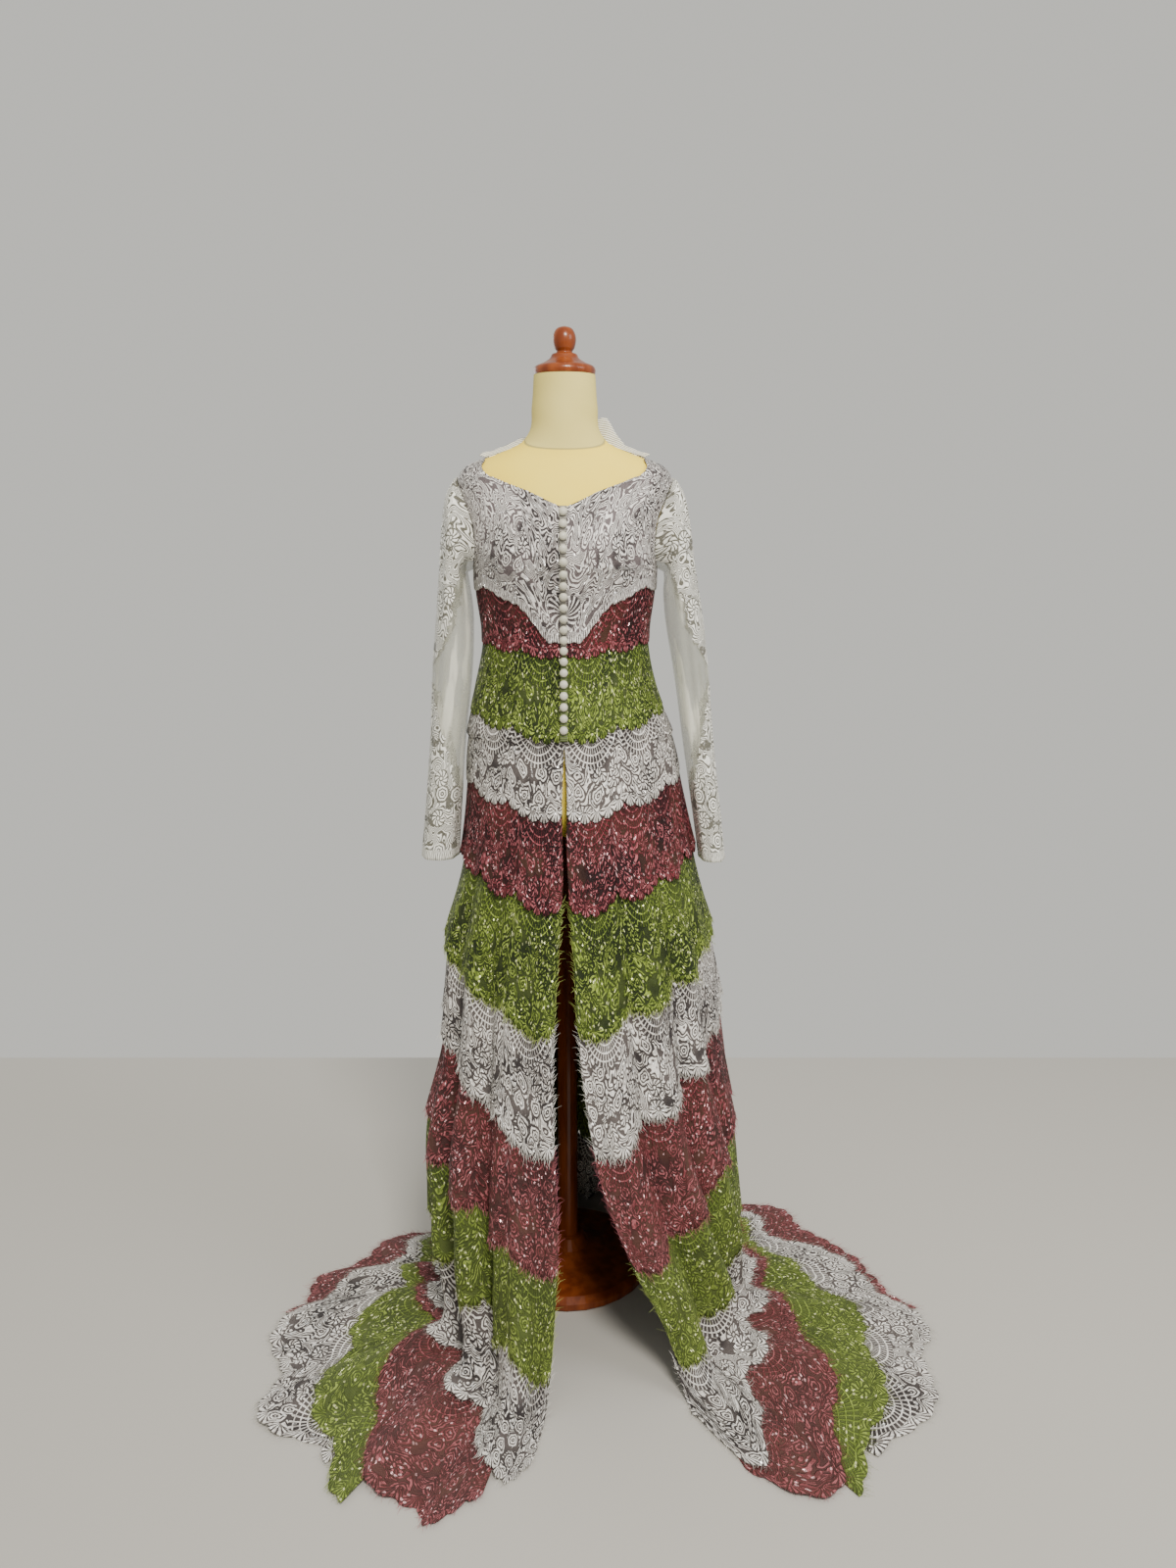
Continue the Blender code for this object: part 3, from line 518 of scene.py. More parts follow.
def gown_normal(share, level):
    """The direction out of the gown."""
    along = gown_point(share + 0.004, level) - gown_point(share - 0.004, level)
    down = gown_point(share, level - 0.006) - gown_point(share, level + 0.006)
    out = np.cross(along, down)
    return out / np.linalg.norm(out, axis=-1, keepdims=True)


def laid(share, level, lift):
    """A point on the gown, raised off its inner face."""
    share, level, lift = np.broadcast_arrays(share, level, lift)
    point = gown_point(share, level) + gown_normal(share, level) * lift[..., None]
    point[..., 2] = np.maximum(point[..., 2], FLOOR_GAP + lift - TUCK_LIFT)
    return point


print("a point of the hem:", np.round(gown_point(0.1, -1.0), 3))

# %% [markdown]
# ## Cutting a piece of cloth
#
# Each piece starts as a flat grid, as cloth starts flat. `create_grid` gives it, and every point
# of the grid then moves to its place on the gown. It carries three maps. `cloth` holds metres
# along the hem and metres up from the hem, so that the lace keeps its real scale. `fan` holds the
# place within one large lobe of the hem, and `shell` the place within one small scallop. A
# Solidify modifier gives the cloth its thickness, inwards from its face.

# %% A grid bent to its place
WELD = 0.00002           # metres, the distance within which points are one


def bent_grid(name, columns, rows, place):
    """A grid with each point at place(across, down), and where its points were when flat. It
    also gives the points in rows and columns, and their order in the mesh."""
    bm = bmesh.new()
    bmesh.ops.create_grid(bm, x_segments=columns, y_segments=rows, size=0.5)
    mesh = bpy.data.meshes.new(name)
    bm.to_mesh(mesh)
    bm.free()
    flat = np.empty(len(mesh.vertices) * 3)
    mesh.vertices.foreach_get("co", flat)
    flat = flat.reshape(-1, 3)
    across = np.round(flat[:, 0] + 0.5, 7)
    down = np.round(0.5 - flat[:, 1], 7)
    order = np.lexsort((across, down))
    spot = place(across[order], down[order]).reshape(rows + 1, columns + 1, 3)
    points = np.empty_like(flat)
    points[order] = spot.reshape(-1, 3)
    mesh.vertices.foreach_set("co", points.ravel())
    return mesh, across, down, points, spot, order


def face_outwards(mesh, points, spot):
    """Flips the faces if the middle one looks inwards, by the run of the rows and columns."""
    middle = mesh.polygons[len(mesh.polygons) // 2]
    near = points[list(middle.vertices)].mean(axis=0)
    corners = spot[:-1, :-1]
    nearest = int(np.argmin(np.linalg.norm(corners.reshape(-1, 3) - near, axis=-1)))
    i, j = divmod(nearest, corners.shape[1])
    normal = np.cross(spot[i, j + 1] - spot[i, j], spot[i + 1, j] - spot[i, j])
    if np.dot(normal, middle.normal) < 0:
        mesh.flip_normals()


def sew_shut(mesh):
    bm = bmesh.new()
    bm.from_mesh(mesh)
    bmesh.ops.remove_doubles(bm, verts=bm.verts, dist=WELD)
    bm.to_mesh(mesh)
    bm.free()


print("grid helpers ready")

# %% Maps on the cloth
SHELLS = 5               # small scallops in each lobe of a hem
FEWEST_LOBES = 12        # for the shells of a piece with fewer lobes
FAN_ABOVE = 0.012        # metres from a fan's middle down to the top of its tier


def draw_maps(mesh, across, rise, fall, width, lobes, fan_at, fan_above):
    """The three maps. rise and fall are metres up from the hem and down from the top."""
    corner = np.empty(len(mesh.loops), int)
    mesh.loops.foreach_get("vertex_index", corner)
    face_across = across[corner].reshape(-1, 4).mean(axis=1).repeat(4)

    def within(count, middle=0.5):
        """Metres from the middle of the lobe or shell that a corner's face is in."""
        return (across[corner] * count - np.floor(face_across * count) - middle) * width / count

    for label, u, v in (
        ("cloth", across[corner] * width, rise[corner]),
        ("fan", within(lobes, fan_at), fall[corner] + fan_above),
        ("shell", within(max(FEWEST_LOBES, lobes) * SHELLS), rise[corner]),
    ):
        layer = mesh.uv_layers.new(name=label)
        layer.data.foreach_set("uv", np.stack([u, v], axis=-1).ravel())


print("shells in a lobe:", SHELLS)

# %% Cloth from a grid


def cloth(name, columns, rows, place, paint, thickness=CLOTH, lobes=FEWEST_LOBES,
          fan_above=FAN_ABOVE, fan_at=0.5, ring=False, mark=None):
    """A sheet of cloth. place(across, down) gives each point, with down = 1 at the hem. A fan
    hangs in each lobe, fan_at of the way across it. A ring is sewn shut at its side. mark is an
    attribute's name and what works it out at each point."""
    mesh, across, down, points, spot, order = bent_grid(name, columns, rows, place)
    if mark:
        layer = mesh.attributes.new(mark[0], "FLOAT", "POINT")
        layer.data.foreach_set("value", mark[1](across, down, points))
    width = float(np.linalg.norm(np.diff(spot[-1], axis=0), axis=-1).sum())
    steps = np.linalg.norm(np.diff(spot, axis=0), axis=-1)
    from_hem = np.vstack([np.cumsum(steps[::-1], axis=0)[::-1], np.zeros((1, columns + 1))])
    rise, fall = np.empty(len(points)), np.empty(len(points))
    rise[order] = from_hem.ravel()
    fall[order] = (from_hem[:1] - from_hem).ravel()
    draw_maps(mesh, across, rise, fall, width, lobes, fan_at, fan_above)
    mesh.update()
    face_outwards(mesh, points, spot)
    if ring:
        sew_shut(mesh)
    mesh.shade_smooth()
    obj = bpy.data.objects.new(name, mesh)
    obj.data.materials.append(paint.material)
    bpy.context.scene.collection.objects.link(obj)
    wall = obj.modifiers.new("thickness", "SOLIDIFY")
    wall.thickness = thickness
    wall.offset = -1.0
    area = sum(face.area for face in mesh.polygons)
    drop = float(from_hem[0].max())
    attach(obj, "root")
    print(name, "faces", len(mesh.polygons), "width", round(width, 3), "drop", round(drop, 3))
    return obj, spot, (width, drop, area)


print("cloth is", CLOTH * 1000.0, "mm thick")

# %% [markdown]
# ## Lace
#
# Corded lace is a fine net with cord stitched on it in winding lines, flowers and fans. Real
# cords could be modelled, but there are hundreds of metres of them. So the material draws them,
# one kind after another. Each drawing is a height from 0, bare net, to 1, the top of a cord, and
# a mask says where it lies over the one before.
#
# Winding cords are the contours of a noise. Here and there they leave a window of bare net.

# %% Winding cords
CORD_PITCH = 0.080       # of the noise's height, from one cord to the next


def winding_cords(paint, place, wander, winding, windows):
    """Cords that run beside each other. They are left out where a noise is above windows."""
    winds = paint.noise(place, winding, 0.0, 0.9)
    curls = paint.noise(place, 75.0, 0.0)
    cords = paint.step(paint.wave(winds + wander * 0.10 + curls * 0.13, CORD_PITCH), 0.28, 0.62)
    bare = paint.step(paint.noise(place, 24.0, 1.0), windows, windows + 0.04)
    return cords * (1.0 - 0.9 * bare)


print("cord pitch", CORD_PITCH)

# %% [markdown]
# A flower lies round the middle of a Voronoi cell, about 32 mm across. Some flowers have petals
# round a small eye, and the others are rings of cord, one inside the next.

# %% Flowers
FLOWERS_A_METRE = 31.0
FLOWER_PETALS, RING_LOBES = 9, 7
RING_SHARE = 0.6         # of the flowers
RING_PITCH = 0.165       # of a cell


def flowers(paint, place, share):
    """Round flowers, a mask of them and a wider one. share says how many cells have one."""
    middle = paint.cells(place, FLOWERS_A_METRE, 0.7, out=2)
    chance = paint.part(paint.cells(place, FLOWERS_A_METRE, 0.7, out=1), "X")
    away = paint.vector("SUBTRACT", place, middle)
    radius = paint.vector("LENGTH", away, out=1) * FLOWERS_A_METRE
    angle = paint.part(away, "X").math("ARCTAN2", paint.part(away, "Y"))
    petals = paint.step(paint.wave(angle + 1.6 * radius, 2.0 * math.pi / FLOWER_PETALS), 0.20, 0.55)
    petals = petals * paint.step(radius, 0.12, 0.17) + paint.step(radius, 0.10, 0.07)
    lobed = radius + 0.030 * paint.wave(angle, 2.0 * math.pi / RING_LOBES)
    rings = paint.step(paint.wave(lobed + 0.07, RING_PITCH), 0.26, 0.56)
    ringed = chance > 1.0 - RING_SHARE * share
    drawn = petals * (1.0 - ringed) + rings * ringed
    chosen = chance > 1.0 - share
    return drawn, paint.step(radius, 0.44, 0.40) * chosen, paint.step(radius, 0.50, 0.46) * chosen


print("flowers a metre:", FLOWERS_A_METRE)

# %% [markdown]
# Half fans hang from the top of each tier. A fan has rows of short stitches that point to its
# middle, with thin arcs between the rows, round a window with spokes. It reads the `fan` map. The
# small scallops of the hem are filled with stitches that spread like a shell's ribs, and they
# read the `shell` map.

# %% Fans, shells and net
ARC_PITCH = 0.0125       # metres from one arc of a fan to the next
TICK_PITCH = 0.125       # radians from one stitch of a fan to the next
SHELL_PITCH = 0.30       # radians from one rib of a shell to the next
SHELL_MIDDLE = 0.021     # metres over the hem
SHELL_HEIGHT = 0.019
EDGE_BLUR = 0.002
NET_PITCH = 0.0036       # metres from one thread of the net to the next


def half_fans(paint, wander, fan, spoke_pitch, twist):
    """Half fans and their mask. fan holds the radii of the window and of the whole."""
    sideways, down = (paint.part(paint.uv("fan"), axis) for axis in "XY")
    radius = (sideways * sideways + down * down).math("SQRT")
    angle = sideways.math("ARCTAN2", down)
    arcs = paint.step(paint.wave(radius, ARC_PITCH), 0.66, 0.86)
    ticks = paint.step(paint.wave(angle + 0.1 * wander, TICK_PITCH), 0.45, 0.80) * 0.80
    spokes = paint.step(paint.wave(angle + twist * radius, spoke_pitch), 0.35, 0.70)
    in_window, in_fan = (paint.step(radius, reach, reach - EDGE_BLUR) for reach in fan)
    comb = arcs.math("MAXIMUM", ticks)
    return comb * (1.0 - in_window) + spokes * in_window, in_fan


def hem_shells(paint, wander):
    """Ribs that spread up from the middle of each small scallop, and their mask."""
    sideways, up = (paint.part(paint.uv("shell"), axis) for axis in "XY")
    spread = sideways.math("ARCTAN2", SHELL_MIDDLE - up)
    ribs = paint.step(paint.wave(spread + 0.3 * wander, SHELL_PITCH), 0.15, 0.55)
    return 0.05 + 0.95 * ribs, paint.step(up, SHELL_HEIGHT, 0.014)


def bare_net(paint, place):
    """Threads that cross in diamonds."""
    along, high = (paint.part(place, axis) for axis in "XY")
    rising, falling = paint.wave(along + high, NET_PITCH), paint.wave(along - high, NET_PITCH)
    return paint.step(rising.math("MAXIMUM", falling), 0.72, 0.90) * 0.30


print("net pitch", NET_PITCH)

# %% The whole drawing, and glitter


def corded(paint, winding=17.0, fan=(0.026, 0.066), windows=0.62, spoke_pitch=0.26, twist=0.0,
           flowered=0.65):
    """The place on the cloth, and the height of the lace there."""
    place = paint.uv("cloth")
    wander = paint.noise(place, 30.0, 2.0)
    cords = winding_cords(paint, place, wander, winding, windows)
    drawn, in_flower, near_flower = flowers(paint, place, flowered)
    body = cords * (1.0 - near_flower) + drawn * in_flower
    fans = half_fans(paint, wander, fan, spoke_pitch, twist)
    for drawn, mask in (fans, hem_shells(paint, wander)):
        body = body * (1.0 - mask) + drawn * mask
    uneven = 0.70 + 0.60 * paint.noise(place, 480.0, 1.0)
    return place, (body * uneven).math("MINIMUM", 1.0).math("MAXIMUM", bare_net(paint, place))


def chips(paint, place, scale, amount, tilt):
    """Glitter: small cells of their own shade; some are sequins, which get a painted glint and are
    turned their own way.
    """
    own = paint.cells(place, scale, out=1)
    chance = paint.part(own, "X")
    inside = paint.step(paint.cells(place, scale), 0.55, 0.42)
    sequins_with_painted_glint = (paint.part(own, "Z") > 1.0 - amount) * inside
    turned = paint.vector("SUBTRACT", own, (0.5, 0.5, 0.5))
    return chance, sequins_with_painted_glint, paint.vector("SCALE", turned, scale=sequins_with_painted_glint * tilt)


print("lace drawing ready")

# %% [markdown]
# That height does two things. It feeds a Bump node, and it chooses between the dark gaps of the
# net and the colour of the cord. The cords are white, rose or green, and chips of glitter are
# mixed over them. Some chips are sequins whose near-white colour is a painted glint. Each chip
# has its own tilt, so that only some of them catch the light.

# %% Lace materials
CORD_RELIEF = 0.0034     # metres
GLITTER_A_METRE = 230.0
FADE_TOP, FADE_FULL = 0.70, 0.02
FADE = 0.33


def lace(name, gaps, deep, cord, painted_highlight, glint, amount, speckle, faded=None, **drawing):
    """A corded lace: its net's two colours, the cords' deep and middle ones with a painted
    highlight on their tops, and the painted glint of its sequins.
    speckle is how much one stitch's shade differs from the next one's. Towards the floor the
    lace lies loose and thin, and its colour goes over into faded."""
    paint = Paint(name)
    place, height = corded(paint, **drawing)
    patch = paint.noise(place, 11.0, 3.0)
    ground = paint.mix(paint.step(patch, 0.38, 0.62), gaps[0], gaps[1])
    chance, sequins_with_painted_glint, turned = chips(paint, place, GLITTER_A_METRE, amount, 1.4)
    shade = speckle * (chance - 0.5) + 0.8 * (patch - 0.5)
    thread = paint.mix(paint.step(shade, -0.28, 0.14), deep, cord)
    # painted highlight: where a cord stands highest, its colour goes over into a lighter one,
    # standing in for the light on its top
    lit = paint.step(speckle * (chance - 0.5) + 0.9 * (height - 0.8), 0.08, 0.34)
    thread = paint.mix(lit, thread, painted_highlight)
    colour = paint.mix(paint.step(height, 0.24, 0.62), ground, thread)
    if faded:
        level = paint.part(paint.on_object(), "Z")
        colour = paint.mix(paint.step(level, FADE_TOP, FADE_FULL) * FADE, colour, faded)
    # painted glint: sequin cells go over into the near-white glint colour, more so on the cords
    colour = paint.mix(sequins_with_painted_glint * (0.35 + 0.6 * paint.step(height, 0.1, 0.4)), colour, glint)
    normal = paint.vector("ADD", paint.bump(height, 1.0, CORD_RELIEF), turned)
    normal = paint.vector("NORMALIZE", normal)
    paint.set(base_color=colour, roughness=0.62 - 0.42 * sequins_with_painted_glint, metallic=0.4 * sequins_with_painted_glint,
              normal=normal)
    paint.shader.inputs["Specular IOR Level"].default_value = 0.3
    return paint


WHITE = {
    "gaps": ((0.034, 0.027, 0.028), (0.125, 0.105, 0.100)),
    "deep": (0.33, 0.30, 0.28),
    "cord": (0.94, 0.90, 0.84),
    "painted_highlight": (1.0, 0.97, 0.92),
    "glint": (1.0, 1.0, 0.98),
    "amount": 0.05,
    "speckle": 0.25,
}
white_lace = lace("white_lace", **WHITE, flowered=0.85)
BODICE = {
    **WHITE,
    "gaps": ((0.040, 0.032, 0.034), (0.19, 0.155, 0.160)),
    "deep": (0.42, 0.38, 0.37),
    "cord": (0.97, 0.93, 0.89),
    "amount": 0.09,
}
bodice_lace = lace("bodice_lace", **BODICE, winding=21.0, fan=(0.030, 0.031), windows=0.70,
                   spoke_pitch=0.42, twist=20.0, flowered=0.24)
rose_lace = lace(
    "rose_lace",
    gaps=((0.015, 0.002, 0.003), (0.066, 0.026, 0.015)),
    deep=(0.045, 0.004, 0.007),
    cord=(0.185, 0.020, 0.030),
    painted_highlight=(0.46, 0.13, 0.15),
    glint=(0.98, 0.58, 0.60),
    amount=0.06,
    speckle=0.45,
    faded=(0.25, 0.105, 0.095),
)
green_lace = lace(
    "green_lace",
    gaps=((0.013, 0.022, 0.003), (0.052, 0.072, 0.013)),
    deep=(0.038, 0.062, 0.005),
    cord=(0.150, 0.220, 0.018),
    painted_highlight=(0.34, 0.44, 0.080),
    glint=(0.95, 1.0, 0.50),
    amount=0.06,
    speckle=0.45,
    faded=(0.21, 0.27, 0.065),
)
LACES = {"white": white_lace, "rose": rose_lace, "green": green_lace}
print("laces:", [p.material.name for p in LACES.values()])

# %% [markdown]
# ## The tiers
#
# The skirt is thirteen bands of lace, each one tucked under the scalloped hem of the band above.
# The hem's shape is a table of heights with two sizes of scallop on it: large lobes, each made of
# small ones. Near its hem a tier stands off the one below in soft flutes.

# %% Hems of the tiers
# name, height of the hem in front, at the side and behind, lobes, depth of a lobe
HANGING_TIERS = (
    ("rose_1", 1.139, 1.164, 1.155, 12, 0.010),
    ("green_1", 1.010, 1.056, 1.040, 12, 0.012),
    ("white_2", 0.884, 0.950, 0.935, 12, 0.016),
    ("rose_2", 0.747, 0.826, 0.810, 16, 0.022),
    ("green_2", 0.555, 0.688, 0.660, 16, 0.024),
    ("white_3", 0.372, 0.560, 0.530, 16, 0.024),
    ("rose_3", 0.202, 0.370, 0.350, 20, 0.024),
    ("green_3", 0.066, 0.190, 0.175, 20, 0.022),
)
# name, share where it starts and ends, lobes, depth of a lobe
FLOOR_TIERS = (
    ("white_4", 0.0000, 1.0000, 20, 0.011),
    ("rose_4", 0.0400, 0.9870, 20, 0.013),
    ("green_4", 0.1150, 0.9560, 20, 0.011),
    ("white_5", 0.1400, 0.9380, 20, 0.014),
    ("rose_5", 0.2400, 0.8360, 20, 0.014),
)
# share, then how far each of the first four floor tiers goes towards the train's edge
FLOOR_HEMS = (
    (0.000, 1.00, 1.00, 1.00, 1.00),
    (0.025, 1.00, 1.00, 1.00, 1.00),
    (0.044, 0.62, 1.00, 1.00, 1.00),
    (0.068, 0.32, 1.00, 1.00, 1.00),
    (0.098, 0.20, 0.97, 1.00, 1.00),
    (0.126, 0.08, 0.72, 0.99, 1.00),
    (0.151, 0.06, 0.66, 0.94, 1.00),
    (0.161, 0.05, 0.49, 0.86, 1.00),
    (0.170, 0.05, 0.33, 0.74, 1.00),
    (0.181, 0.05, 0.15, 0.65, 1.00),
    (0.214, 0.05, 0.12, 0.58, 1.00),
    (0.225, 0.05, 0.12, 0.45, 1.00),
    (0.236, 0.05, 0.12, 0.32, 0.96),
    (0.250, 0.05, 0.15, 0.29, 0.88),
    (0.269, 0.05, 0.17, 0.31, 0.76),
    (0.291, 0.05, 0.18, 0.33, 0.62),
    (0.302, 0.05, 0.22, 0.39, 0.58),
    (0.340, 0.05, 0.27, 0.50, 0.72),
    (0.370, 0.06, 0.27, 0.48, 0.72),
    (0.400, 0.08, 0.26, 0.46, 0.70),
    (0.600, 0.08, 0.24, 0.44, 0.70),
    (0.700, 0.06, 0.21, 0.38, 0.60),
    (0.741, 0.05, 0.18, 0.32, 0.52),
    (0.759, 0.05, 0.15, 0.29, 0.60),
    (0.772, 0.05, 0.13, 0.28, 0.80),
    (0.799, 0.05, 0.12, 0.46, 0.93),
    (0.833, 0.05, 0.12, 0.58, 0.96),
    (0.854, 0.05, 0.17, 0.60, 0.99),
    (0.876, 0.05, 0.33, 0.70, 1.00),
    (0.901, 0.05, 0.37, 0.71, 1.00),
    (0.911, 0.06, 0.43, 0.74, 1.00),
    (0.929, 0.13, 0.64, 0.88, 1.00),
    (0.944, 0.22, 0.81, 0.97, 1.00),
    (0.951, 0.26, 0.86, 0.99, 1.00),
    (0.965, 0.36, 0.97, 1.00, 1.00),
    (0.978, 0.83, 1.00, 1.00, 1.00),
    (0.987, 1.00, 1.00, 1.00, 1.00),
    (1.000, 1.00, 1.00, 1.00, 1.00),
)
# share, height
BODICE_HEM = (
    (0.000, 1.158),
    (0.030, 1.160),
    (0.050, 1.186),
    (0.070, 1.210),
    (0.100, 1.229),
    (0.140, 1.246),
    (0.250, 1.244),
    (0.500, 1.236),
)
print("tiers that hang:", len(HANGING_TIERS), "and on the floor:", len(FLOOR_TIERS))

# %% Scallops
BODICE_LOBES, BODICE_LOBE_DEPTH = 12, 0.008
SIDE = 0.25              # share at the side of the body


def mirrored(share):
    """The same share for both sides, from 0 in front to 0.5 at the back."""
    return np.minimum(share, 1.0 - share)


def scallop(share, lobes):
    return np.abs(np.sin(math.pi * lobes * share)) ** 0.75


def small_scallops(share, lobes):
    """The small scallops of each lobe, from 0 to 1."""
    return np.abs(np.sin(math.pi * lobes * SHELLS * share)) ** 0.8


def hanging_hem(share, front, side, back, lobes, depth):
    ahead = np.clip(1.0 - mirrored(share) / SIDE, 0.0, 1.0)
    behind = ease_in((mirrored(share) - SIDE) / SIDE)
    height = side + (front - side) * ahead + (back - side) * behind
    return height - depth * scallop(share, lobes)


def bodice_hem(share):
    grown = np.clip(mirrored(share) / 0.1, 0.0, 1.0)
    height = straight(BODICE_HEM, mirrored(share))
    return height - BODICE_LOBE_DEPTH * scallop(share, BODICE_LOBES) * grown


def floor_reach(share):
    foot = gown_point(share, np.zeros_like(share))
    edge = gown_point(share, -np.ones_like(share))
    return np.maximum(np.linalg.norm(edge - foot, axis=-1), SHORTEST_REACH)


def floor_hem(share, column, lobes, depth):
    """The level of a floor tier's hem. The last tier ends at the train's edge."""
    last = column == len(FLOOR_TIERS)
    across = np.ones_like(share) if last else straight(FLOOR_HEMS, share, column)
    across = across + depth * (scallop(share, lobes) - 0.5) / floor_reach(share)
    return -np.maximum(across, LEAST_ACROSS)


first_hem = hanging_hem(0.0, *HANGING_TIERS[0][1:])
print("hem of the first rose tier in front:", round(float(first_hem), 3))

# %% Cloth of one tier
TIER_COLUMNS = {"rose_1": 360, "green_1": 360, "white_2": 400}
SKIRT_COLUMNS = 480
SMALL_SCALLOP = 0.007    # metres
HANGING_PART = 0.8       # of the rows of the tier that turns onto the floor
FLUTES = 1.5             # for each lobe
tier_pieces = {}


def tier_cloth(name, first, last, top, hem, lobes, rows, under, flute, turn=False):
    """One tier, from the shares where it starts and ends, and the levels of its top and its hem.
    under holds the shares between which a tier lies below it. flute is how far its hem waves out.
    With turn, it hangs first and then lies on the floor."""
    colour = name.split("_")[0]
    columns = TIER_COLUMNS.get(name, SKIRT_COLUMNS)
    shift = 0.15 * math.sin(len(name) + lobes)

    def place(across, down):
        share = first + (last - first) * across
        up_here, hem_here = top(share), hem(share)
        small = SMALL_SCALLOP * (small_scallops(share, lobes) - 0.5)
        if hem_here.min() > 0:
            hem_here = hem_here - small
        else:
            hem_here = np.maximum(hem_here - small / floor_reach(share), -FARTHEST)
        if turn:
            fall = np.clip(down / HANGING_PART, 0.0, 1.0)
            over = np.clip((down - HANGING_PART) / (1.0 - HANGING_PART), 0.0, 1.0)
            level = up_here * (1.0 - fall) + hem_here * over
        else:
            level = up_here + (hem_here - up_here) * down
        slope = (up_here - level) / np.maximum(up_here - hem_here, 1e-6)
        past = np.maximum(under[0] - share, share - under[1])
        raised = np.clip(1.0 - past / SETTLE, 0.0, 1.0)
        lift = TUCK_LIFT + (HEM_LIFT - TUCK_LIFT) * slope * raised
        wave = 0.5 + 0.5 * np.sin(2.0 * math.pi * (lobes * FLUTES * share + shift))
        return laid(share, level, lift + flute * wave * slope ** 2.5 + CLOTH)

    made = cloth("lace_tier_" + name, columns, rows, place, LACES[colour], lobes=lobes)
    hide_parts("tier_" + name)
    colour + "_lace"
    tier_pieces[name] = made


print("columns of a wide tier:", SKIRT_COLUMNS)

# %% Tiers that hang
FITTED_TIERS = 3         # the first ones lie close to the body
FITTED_ROWS, HANGING_ROWS = 18, 22
HANGING_FLUTE = 0.006

above = bodice_hem
for number, (name, *shape) in enumerate(HANGING_TIERS):

    def hem(share, shape=shape):
        return hanging_hem(share, *shape)

    def top(share, over=above):
        return over(share) + TUCK

    fitted = number < FITTED_TIERS
    rows = FITTED_ROWS if fitted else HANGING_ROWS
    flute = 0.0 if fitted else HANGING_FLUTE
    tier_cloth(name, 0.0, 1.0, top, hem, shape[3], rows, (0.0, 1.0), flute)
    above = hem

print("tiers so far:", len(tier_pieces))

# %% Tiers on the floor
FLOOR_ROWS = 20
FLOOR_FLUTE = 0.003
FLOOR_TOP = -0.01        # the highest level at which a floor tier starts


def tucked(share, over):
    """The level where a floor tier starts, a little way under the tier over it."""
    return np.minimum(over(share) + TUCK / floor_reach(share), FLOOR_TOP)


for column, (name, first, last, lobes, depth) in enumerate(FLOOR_TIERS, start=1):
    turned = column == 1

    def hem(share, column=column, lobes=lobes, depth=depth, over=above, turned=turned):
        level = floor_hem(share, column, lobes, depth)
        if turned:
            return level
        least = np.maximum(NARROWEST, NARROWEST_METRES / floor_reach(share))
        return np.minimum(level, tucked(share, over) - least)

    def top(share, over=above, turned=turned):
        return over(share) + TUCK if turned else tucked(share, over)

    under = FLOOR_TIERS[column][1:3] if column < len(FLOOR_TIERS) else (1.0 + SETTLE, 1.0)
    tier_cloth(name, first, last, top, hem, lobes, FLOOR_ROWS, under, FLOOR_FLUTE, turn=turned)

    def above(share, column=column, lobes=lobes, depth=depth):
        return floor_hem(share, column, lobes, depth)

print("tiers:", len(tier_pieces))

# %% [markdown]
# ## The bodice
#
# Three panels of white corded lace: two fronts and a back, with seams at the sides. The panels are
# cut low in front and round at the armholes. The rows of the grid follow the neckline and the
# hem, and its columns draw in beside the armhole.

# %% Neckline and armhole
# share, height
NECKLINE = (
    (0.000, 1.362),
    (0.030, 1.373),
    (0.065, 1.388),
    (0.098, 1.400),
    (0.125, 1.413),
    (0.167, 1.432),
    (0.250, 1.441),
    (0.310, 1.457),
    (0.380, 1.464),
    (0.500, 1.466),
)
ARMHOLE = {"height": 1.3392, "half_height": 0.0710, "half_share": 0.058}


def neckline(share):
    return smooth(NECKLINE, mirrored(share))[0]


def armhole_share(height):
    """Half the armhole's width at a height, as a share of the way round."""
    up = (height - ARMHOLE["height"]) / ARMHOLE["half_height"]
    return ARMHOLE["half_share"] * np.sqrt(np.clip(1.0 - up * up, 0.0, 1.0))


print("neckline in front", float(neckline(0.0)))

# %% Bodice panels
BODICE_ROWS = 70
PANEL_SCALLOP = 0.003
FRONT_FAN, BACK_FAN = -0.168, -0.190     # metres, for one fan low down on each panel
sheets = []


def panel(name, near, far, columns, fan_at, fan_above):
    """A panel of the bodice between two shares. It draws in beside an armhole."""
    def place(across, down):
        plain = near + (far - near) * across
        top = neckline(plain)
        bottom = bodice_hem(plain) - PANEL_SCALLOP * small_scallops(plain, BODICE_LOBES)
        level = top + (bottom - top) * down
        start, end = np.full_like(level, near), np.full_like(level, far)
        if near in SIDE_SEAMS:
            start = near + armhole_share(level) + SEAM_SHARE
        if far in SIDE_SEAMS:
            end = far - armhole_share(level) - SEAM_SHARE
        share = start + (end - start) * across
        lift = HEM_LIFT * ease_in(down * 2.0 - 1.0)
        return laid(share, level, lift + CLOTH)

    made = cloth("lace_" + name, columns, BODICE_ROWS, place, bodice_lace, lobes=1,
                 fan_above=fan_above, fan_at=fan_at)
    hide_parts(name)
    sheets.append((name, *made))


panel("bodice_front_right", 0.0, 0.25, 90, 0.0, FRONT_FAN)
panel("bodice_back", 0.25, 0.75, 180, 0.5, BACK_FAN)
panel("bodice_front_left", 0.75, 1.0, 90, 1.0, FRONT_FAN)
print("bodice panels:", len(sheets))

# %% [markdown]
# ## The sleeves
#
# A sleeve is a sheer ivory net with lace sewn on: along the outer arm down to a point, and again
# from a point above the wrist that widens to the whole cuff. The tube is lofted through the CAD
# model's sections. An attribute, `applique`, holds how far each point lies inside the sewn-on
# lace, in metres, and the material reads it.

